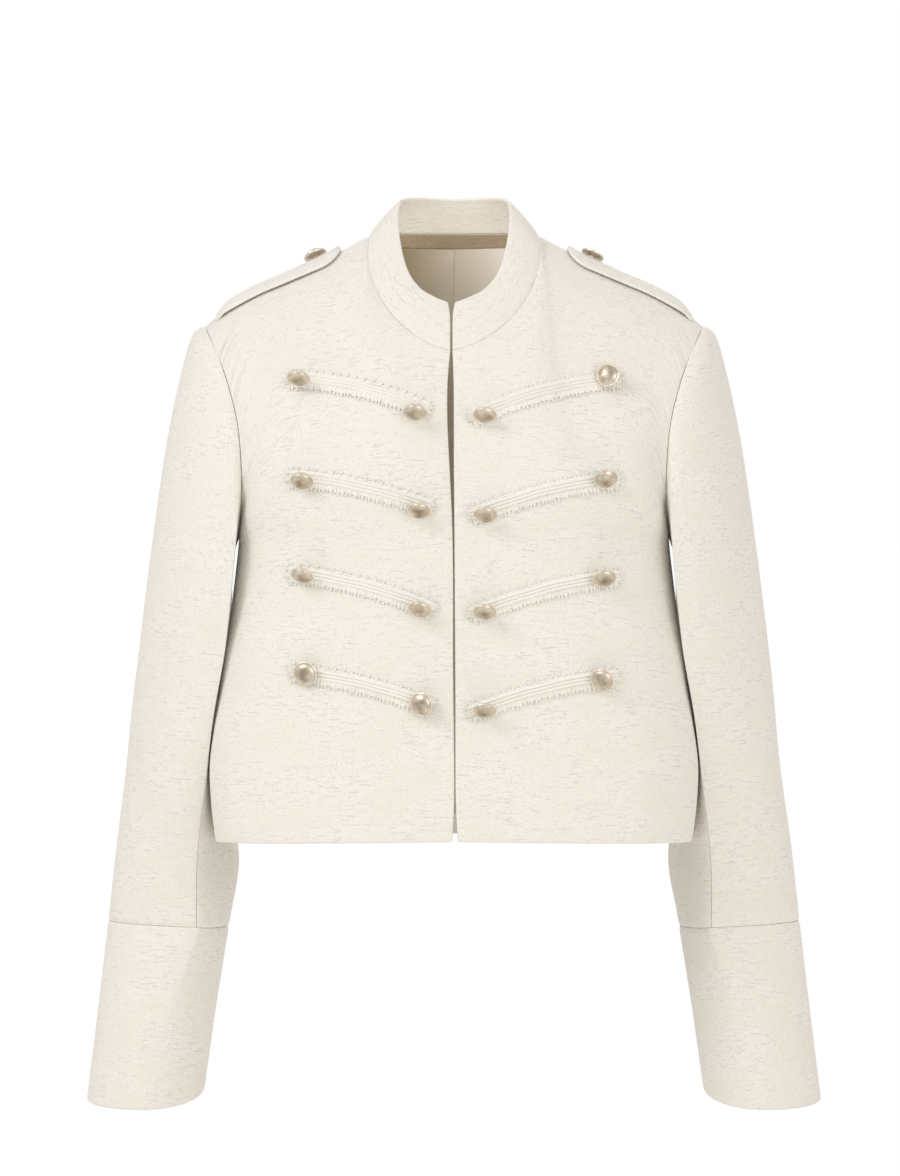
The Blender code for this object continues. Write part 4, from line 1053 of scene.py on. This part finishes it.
cotton = cotton_finish()
rng = np.random.default_rng(7)
front_skins = {side: skin_of(grid) for side, grid in shown_fronts.items()}
side_names = {-1: "right", 1: "left"}
seats = {}
for trim in range(len(TRIMS["side"])):
    row = {name: column[trim] for name, column in TRIMS.items()}
    side, line = int(row["side"]), int(row["row"])
    outer = np.array([side * row["outer_x"], row["outer_z"]])
    inner = np.array([side * row["inner_x"], row["inner_z"]])
    length = np.linalg.norm(inner - outer)
    # The cloth under the trim, read on a lattice along it and across it, past both ends and both edges.
    share_knots = np.linspace(-0.11, 1.11, 34)
    across_knots = np.linspace(-14, 14, 9)
    lead = (inner - outer) + np.stack([0 * share_knots, row["bow"] * 4 * (1 - 2 * share_knots)], axis=-1)
    lead /= np.linalg.norm(lead, axis=-1, keepdims=True)
    upward = np.stack([-lead[:, 1], lead[:, 0]], axis=-1) * np.sign(lead[:, :1])
    middle = outer + (inner - outer) * share_knots[:, None]
    middle[:, 1] += row["bow"] * 4 * share_knots * (1 - share_knots)
    spots = middle[:, None] + upward[:, None] * across_knots[None, :, None]
    # The ends nearest the centre front are drawn together, to stay on the cloth.
    from_middle = side * spots[..., 0]
    spots[..., 0] = side * np.where(from_middle < 8, 7.2 + 0.1 * from_middle, from_middle)
    ground = touch_all(front_skins[side], points(spots[..., 0], -400, spots[..., 1]), (0, 1, 0))
    out = np.cross(np.gradient(ground, axis=0), np.gradient(ground, axis=1))
    out = unit(out * -np.sign(out[..., 1:2]))

    def lay(share, across, height):
        """Places over the cloth at a share of the trim's length, so far across it and so high above it."""
        at = (np.asarray(share) + 0.11) / 1.22 * (len(share_knots) - 1)
        over = (np.asarray(across) + 14) / 28 * (len(across_knots) - 1)
        at, over = np.broadcast_arrays(np.clip(at, 0, len(share_knots) - 1.001), np.clip(over, 0, 7.999))
        low, left = at.astype(int), over.astype(int)
        s, t = (at - low)[..., None], (over - left)[..., None]
        both = np.concatenate([ground, out], axis=-1)
        near = both[low, left] * (1 - t) + both[low, left + 1] * t
        far = both[low + 1, left] * (1 - t) + both[low + 1, left + 1] * t
        mixed = near * (1 - s) + far * s
        return mixed[..., :3] + mixed[..., 3:] * np.asarray(height)[..., None]

    # The tape: a flat weave with three ribs, each a twisted cord.
    run = np.linspace(0, 1, 190)[:, None]
    over = np.linspace(-BRAID_HALF_WIDTH, BRAID_HALF_WIDTH, 29)[None]
    nearest = np.round(np.clip(over / RIB_SPACING, -1, 1)) * RIB_SPACING
    round_rib = np.sqrt(np.clip(1 - ((over - nearest) / 1.25) ** 2, 0, 1))
    twist = 0.16 * np.cos(2 * math.pi * (run * length / 2.3 + (over - nearest) / 2.2))
    wander = 0.25 * np.sin(run * length / 17 + trim) + 0.15 * np.sin(run * length / 6.1 + 2 * trim)
    height = 0.55 + (RIB_CREST - 0.55 + twist) * round_rib**1.4
    edge = rim_drop(BRAID_HALF_WIDTH - np.abs(over), 0.8, 0)
    upper = lay(run, over + wander, LAY_GAP + height - edge)
    under = lay(run, over + wander, LAY_GAP + 0 * height + 0.05)
    corners = np.stack([upper, under])
    parts = [corners.reshape(-1, 3)]
    quads = [shell_faces(*height.shape)]
    # Frayed edges: strands in small clumps, sparse and slanted above the tape, dense and longer below it.
    # Between them lies a gauze of loose cross yarns, whose own edge is uneven.
    strands = []
    widths = []
    t = np.linspace(0, 1, 5)
    for way, count, reach, spread, gauze in ((1, 78, 4.2, 0.22, 0.25), (-1, 160, 6.2, 0.08, 0.6)):
        clump = np.round(np.linspace(0, 1, count) * count / 4.5) / (count / 4.5)
        root = np.clip(clump + rng.normal(0, 0.0034, count), 0.005, 0.995)
        long = reach * rng.uniform(0.86, 1.06, count) * (1 + 0.06 * np.sin(clump * 37 + trim))
        lean = rng.normal(0, spread, count) + 0.7 * (way > 0) + 0.12 * np.sin(clump * 23 + 2 * trim)
        curl = rng.normal(0, 0.16, count)
        lift = rng.uniform(0.05, 0.45, count)
        off = way * (3.9 + long[:, None] * t)
        along = root[:, None] + (lean[:, None] * t + curl[:, None] * t**2) * long[:, None] * 0.5 / length
        high = LAY_GAP + 0.5 + lift[:, None] * np.sin(t * math.pi * 0.75) - 0.3 * t
        strands.append(lay(along, off, high))
        widths.append(np.full((count, 1), 0.46) * rng.uniform(0.7, 1.15, (count, 1)) * (1 - 0.4 * t**3))
        ragged = 1 + 0.1 * np.sin(run * length / 2.1 + trim) + 0.12 * np.sin(run * length / 0.83 + way)
        spread_over = way * (4.2 + np.array([0, 0.5, 1.0]) * reach * gauze * ragged)
        sheet = lay(run, spread_over, LAY_GAP + 0.25 + 0 * spread_over)
        backing = lay(run, spread_over, LAY_GAP + 0.05 + 0 * spread_over)
        quads.append(shell_faces(*spread_over.shape) + sum(len(part) for part in parts))
        parts.append(np.stack([sheet, backing]).reshape(-1, 3))
    # Frayed ends: a tuft that spreads past each end of the tape.
    for end in (0, 1):
        count = 34
        start = rng.uniform(-4.2, 4.2, count)
        reach = rng.uniform(1.5, 4.8, count)
        fan = start * 0.35 + rng.normal(0, 1.6, count)
        along = (end + (2 * end - 1) * (reach[:, None] * t - 0.6) / length) * np.ones((count, 1))
        off = start[:, None] + fan[:, None] * t**1.4
        high = LAY_GAP + 0.6 + rng.uniform(0.2, 0.9, count)[:, None] * np.sin(t * math.pi * 0.8)
        strands.append(lay(along, off, high))
        widths.append(np.full((count, 1), 0.36) * (1 - 0.5 * t**3))
    tufts, tuft_faces = tubes(np.concatenate(strands), np.concatenate(widths))
    quads.append(tuft_faces + sum(len(part) for part in parts))
    parts.append(tufts)
    name = f"trim_{side_names[side]}_{line}"
    made = piece(f"{name}_braid", np.concatenate(parts), np.concatenate(quads), cotton, [name])
    for at_outer in (0, 1):
        share = BUTTON_INSET / length if at_outer else 1 - BUTTON_INSET / length
        seat = lay(share, 0.0, LAY_GAP + RIB_CREST)
        seats[side, line, at_outer] = (seat, unit(lay(share, 0.0, LAY_GAP + RIB_CREST + 1) - seat))

# Buttons. Shank buttons of stamped brass, plated a pale satin gold. Their middles are painted dark and their
# rims pale, as painted reflection and highlight.
# Each has a low dome inside a thin raised rim, and hangs its own way on a thread shank: it droops, swings to
# one side, sags down the cloth and moves aside.
BUTTON_RADIUS = 9.5
BUTTON_DOME = 3.9
BUTTON_RIM = 1.3
LEAST_SHANK = 3.2
BUTTONS = table(
    "side row at_outer droop swing sag aside",
    (-1, 1, 1, 60, 0, 6.8, -1.2),
    (-1, 2, 1, 51, -4, 5.5, -4.2),
    (-1, 3, 1, 52, 0, 2.4, -6.0),
    (-1, 4, 1, 14, 0, 0.8, -3.1),
    (-1, 1, 0, 56, 12, 12.0, 2.4),
    (-1, 2, 0, 51, 14, 6.6, 0.5),
    (-1, 3, 0, 51, 12, 4.2, 0.6),
    (-1, 4, 0, 12, 24, 1.8, 0.0),
    (1, 1, 0, 59, -4, 7.5, 3.4),
    (1, 2, 0, 53, 0, 3.8, 3.0),
    (1, 3, 0, 53, 0, 2.3, 1.5),
    (1, 4, 0, 55, 4, 2.0, 1.6),
    (1, 1, 1, 12, 28, 1.4, -2.9),
    (1, 2, 1, 46, 8, 1.7, -4.2),
    (1, 3, 1, 45, 12, 1.6, -6.0),
    (1, 4, 1, 26, 34, 2.4, -5.8),
)


def plated_finish():
    """Satin champagne plate over stamped brass. Painted reflection darkens the middle of the head and a
    painted highlight pales its raised rim; soft patches lie over both."""
    made = bpy.data.materials.new("satin_champagne_plate")
    made.use_nodes = True
    tree = made.node_tree
    shader = tree.nodes["Principled BSDF"]
    place = node(tree, "ShaderNodeTexCoord").outputs["Object"]
    cloud = node(tree, "ShaderNodeTexNoise", {"Vector": place, "Scale": 1000 / 6, "Detail": 3.0})
    grain = node(tree, "ShaderNodeTexNoise", {"Vector": place, "Scale": 1000 / 0.6, "Detail": 2.0})
    # The point attribute carries the painted reflection: low in the dome's middle, high on the rim.
    painted_reflection = node(tree, "ShaderNodeAttribute", attribute_name="painted_reflection").outputs["Fac"]
    patches_and_painted_reflection = node(tree, "ShaderNodeMath", {0: cloud.outputs["Fac"], 1: 0.5}, operation="SUBTRACT")
    patches_and_painted_reflection = node(tree, "ShaderNodeMath", {0: patches_and_painted_reflection.outputs[0], 1: 1.1, 2: painted_reflection}, operation="MULTIPLY_ADD")
    colour = node(tree, "ShaderNodeValToRGB", {"Fac": patches_and_painted_reflection.outputs[0]})
    tones = colour.color_ramp.elements
    tones[0].position, tones[0].color = 0.0, linear("#9A8C79")
    tones[1].position, tones[1].color = 1.0, linear("#F6EFE2")
    tones.new(0.45).color = linear("#DACFBE")
    grain = grain.outputs["Fac"]
    bump = node(tree, "ShaderNodeBump", {"Height": grain, "Distance": 0.00008, "Strength": 0.5})
    tree.links.new(colour.outputs[0], shader.inputs["Base Color"])
    tree.links.new(bump.outputs[0], shader.inputs["Normal"])
    shader.inputs["Metallic"].default_value = 1.0
    shader.inputs["Roughness"].default_value = 0.36
    return made


plate = plated_finish()


def button(name, seat, out, axis, hang=0.0):
    """A turned button: each ring of the profile is a circle round the axis, and the shank bends from the
    axis to the cloth. Heights and radii are in millimetres from the widest circle of the head. The hang is
    how far the head has sunk and moved aside."""
    tilt = math.acos(np.clip(np.dot(out, axis), -1, 1))
    stand = BUTTON_RADIUS * math.sin(tilt) + BUTTON_RIM * math.cos(tilt) + SEAM_GAP
    seat = seat + out * SEAM_GAP
    centre = seat + out * max(stand, LEAST_SHANK) + hang
    dome = np.sin(np.linspace(0.03, 1, 14) * math.pi / 2)
    radius = np.concatenate([8.35 * dome, [8.5, 8.75, 9.1, 9.4, 9.5, 9.4, 9.1, 8.0, 4.0, 2.2, 1.9]])
    height = np.concatenate(
        [
            0.45 + (BUTTON_DOME - 0.45) * (1 - dome**2) ** 0.62,
            [0.55, 0.62, 0.72, 0.5, 0.0, -0.6, -1.1, -1.4, -1.7, -1.8, -2.2],
        ]
    )
    across = unit(np.cross((0, 1.0, 0) if abs(axis[2]) > abs(axis[1]) else (0, 0, 1.0), axis))
    other = np.cross(axis, across)
    turns = np.arange(40) * 2 * math.pi / 40
    circle = across * np.cos(turns)[:, None] + other * np.sin(turns)[:, None]
    head = centre + axis * height[:, None, None] + circle[None] * radius[:, None, None]
    # The shank: rings that slide from the back of the head to the seat and turn from the axis to the cloth.
    t = np.linspace(0.15, 1, 7)[:, None]
    stem = (centre - axis * 2.2) * (1 - t) + (seat + out * 0.05) * t
    way = unit(axis * (1 - t) + out * t)
    level = unit(across - (across * way).sum(axis=-1, keepdims=True) * way)
    side_way = np.cross(way, level)
    thick = 1.7 + 0.15 * np.sin(t * 19)
    shank = stem[:, None] + thick[..., None] * (
        level[:, None] * np.cos(turns)[None, :, None] + side_way[:, None] * np.sin(turns)[None, :, None]
    )
    rings = np.concatenate([head, shank])
    top = centre + axis * BUTTON_DOME
    corners = np.concatenate([rings.reshape(-1, 3), [top, seat]])
    faces = weave_faces(len(rings), 40, closed=True)[:, ::-1].tolist()
    last = (len(rings) - 1) * 40
    faces += [(len(corners) - 2, at, (at + 1) % 40) for at in range(40)]
    faces += [(len(corners) - 1, last + (at + 1) % 40, last + at) for at in range(40)]
    mesh = bpy.data.meshes.new(name)
    mesh.from_pydata((corners * 0.001).tolist(), [], faces)
    mesh.shade_smooth()
    mesh.set_sharp_from_angle(angle=math.radians(40))
    mesh.materials.append(plate)
    mesh.materials.append(cotton)
    stem_start = (len(head) - 1) * 40
    mesh.polygons.foreach_set("material_index", [int(min(face) >= stem_start) for face in faces])
    # Painted reflection and highlight: dark in the dome's middle, pale on the rim, mid-tone on the shank.
    painted_reflection = [0.15 + 0.45 * dome**2, [0.7, 0.85, 1, 1, 0.95, 0.8], np.full(len(rings) - 20, 0.4)]
    painted_reflection = np.concatenate(painted_reflection)
    painted_reflection = np.append(np.repeat(painted_reflection, 40), [0.15, 0.4])
    mesh.attributes.new("painted_reflection", "FLOAT", "POINT").data.foreach_set("value", painted_reflection)
    made = bpy.data.objects.new(f"{name}_metal", mesh)
    bpy.context.collection.objects.link(made)
    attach(made, "root")
    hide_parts(name)


for at in range(len(BUTTONS["side"])):
    row = {name: column[at] for name, column in BUTTONS.items()}
    side, line, at_outer = int(row["side"]), int(row["row"]), int(row["at_outer"])
    seat, out = seats[side, line, at_outer]
    tilt = np.array([-math.tan(math.radians(row["swing"])), 0, -math.tan(math.radians(row["droop"]))])
    down = unit(out[2] * out - (0, 0, 1))
    away = unit(np.array([side, 0, 0]) - side * out[0] * out)
    hang = down * row["sag"] + away * row["aside"]
    place = "outer" if at_outer else "inner"
    button(f"button_{side_names[side]}_{line}_{place}", seat, out, unit(out + tilt), hang)

# Shoulder straps. Two layers of tweed sewn edge to edge and turned, set into the armhole seam, rounded at the
# neck end and stitched 4 mm in from the edge. A button holds each down.
STRAP_NECK_X = 90
STRAP_TIP_X = 189
STRAP_WALL = 2.4
STRAP_LAY = 1.9
STRAP_RIDGE_Y = 7.3
STRAP_FRONT = -18
STRAP_BACK = 23
STRAP_POINT = 16
STRAP_BUTTON_X = 110
whole_tube = np.concatenate([tube[:, -3:], tube, tube[:, :4]], axis=1)
fine_tube = surface(whole_tube, np.linspace(0, 6, 40), 3 + np.linspace(0, 20, 121))
for name, side in (("right", -1), ("left", 1)):
    skin = skin_of(shown_fronts[side], shown_back, fine_tube * (side, 1, 1))
    # The shoulder's height is read on a lattice; the strap's places are then read from that.
    x_knots = np.linspace(STRAP_NECK_X - 4, STRAP_TIP_X + 2, 32)
    y_knots = np.linspace(STRAP_RIDGE_Y + STRAP_FRONT - 3, STRAP_RIDGE_Y + STRAP_BACK + 3, 17)
    starts = points(side * x_knots[:, None], y_knots[None], 200)
    ground = touch_all(skin, starts, (0, 0, -1))
    for _ in range(2):
        inside = ground[1:-1, 1:-1, 2]
        mean = (ground[:-2, 1:-1, 2] + ground[2:, 1:-1, 2] + ground[1:-1, :-2, 2] + ground[1:-1, 2:, 2]) / 4
        inside += 0.6 * (np.maximum(mean, inside) - inside)
    out = np.cross(np.gradient(ground, axis=0), np.gradient(ground, axis=1))
    out = unit(out * np.sign(out[..., 2:]))
    share = np.concatenate([np.linspace(0, 0.16, 26)[:-1], np.linspace(0.16, 1, 44)])
    x = STRAP_NECK_X + (STRAP_TIP_X - STRAP_NECK_X) * share
    near_end = np.clip((x - STRAP_NECK_X) / STRAP_POINT, 0, 1)
    narrow = np.maximum(np.sqrt(1 - (1 - near_end) ** 2), 0.05)
    over = np.sin(np.linspace(-1, 1, 35) * math.pi / 2)
    y = STRAP_RIDGE_Y + np.where(over < 0, -over * STRAP_FRONT, over * STRAP_BACK)[None] * narrow[:, None]
    at = (x - x_knots[0]) / (x_knots[1] - x_knots[0])
    to = (y - y_knots[0]) / (y_knots[1] - y_knots[0])
    low, left = at.astype(int)[:, None] + 0 * to.astype(int), to.astype(int)
    s, t = (at[:, None] - low)[..., None], (to - left)[..., None]
    both = np.concatenate([ground, out], axis=-1)
    mixed = (both[low, left] * (1 - t) + both[low, left + 1] * t) * (1 - s)
    mixed += (both[low + 1, left] * (1 - t) + both[low + 1, left + 1] * t) * s
    base, way = mixed[..., :3], unit(mixed[..., 3:])
    u, v = arc(base, 1), arc(base, 0)
    edge_reach = np.minimum(u, u[:, -1:] - u)
    from_end = np.minimum(edge_reach, (x - STRAP_NECK_X)[:, None])
    crown = 0.5 * np.exp(-((edge_reach - 9) ** 2) / 60)
    stitch = 0.42 * np.exp(-(((from_end - 4) / 0.6) ** 2)) * (0.75 + 0.25 * np.cos(v * 2 * math.pi / 3.0))
    drop = rim_drop(edge_reach, 1.15, 0.35) + 2.6 * np.exp(-(((STRAP_TIP_X - x) / 5.5) ** 2))[:, None]
    upper = base + way * (STRAP_LAY + STRAP_WALL + crown - stitch - drop)[..., None]
    lower = base + way * (STRAP_LAY + rim_drop(edge_reach, 1.1, 0))[..., None]
    uv = np.stack([np.stack([v, u + 60 * side + 6000], axis=-1)] * 2)
    corners = np.stack([upper, lower])
    made = piece(f"strap_{name}_cloth", corners, shell_faces(*u.shape), tweed, [f"strap_{name}"], uv)
    spot = points(side * STRAP_BUTTON_X, 9.0, 200.0)
    shown = skin_of(upper)
    seat = touch_all(shown, spot, (0, 0, -1))
    beside = touch_all(shown, spot + np.array([[3.0, 0, 0], [-3, 0, 0], [0, 3, 0], [0, -3, 0]]), (0, 0, -1))
    out = unit(np.cross(beside[0] - beside[1], beside[2] - beside[3]))
    button(f"button_strap_{name}", seat, out, out)
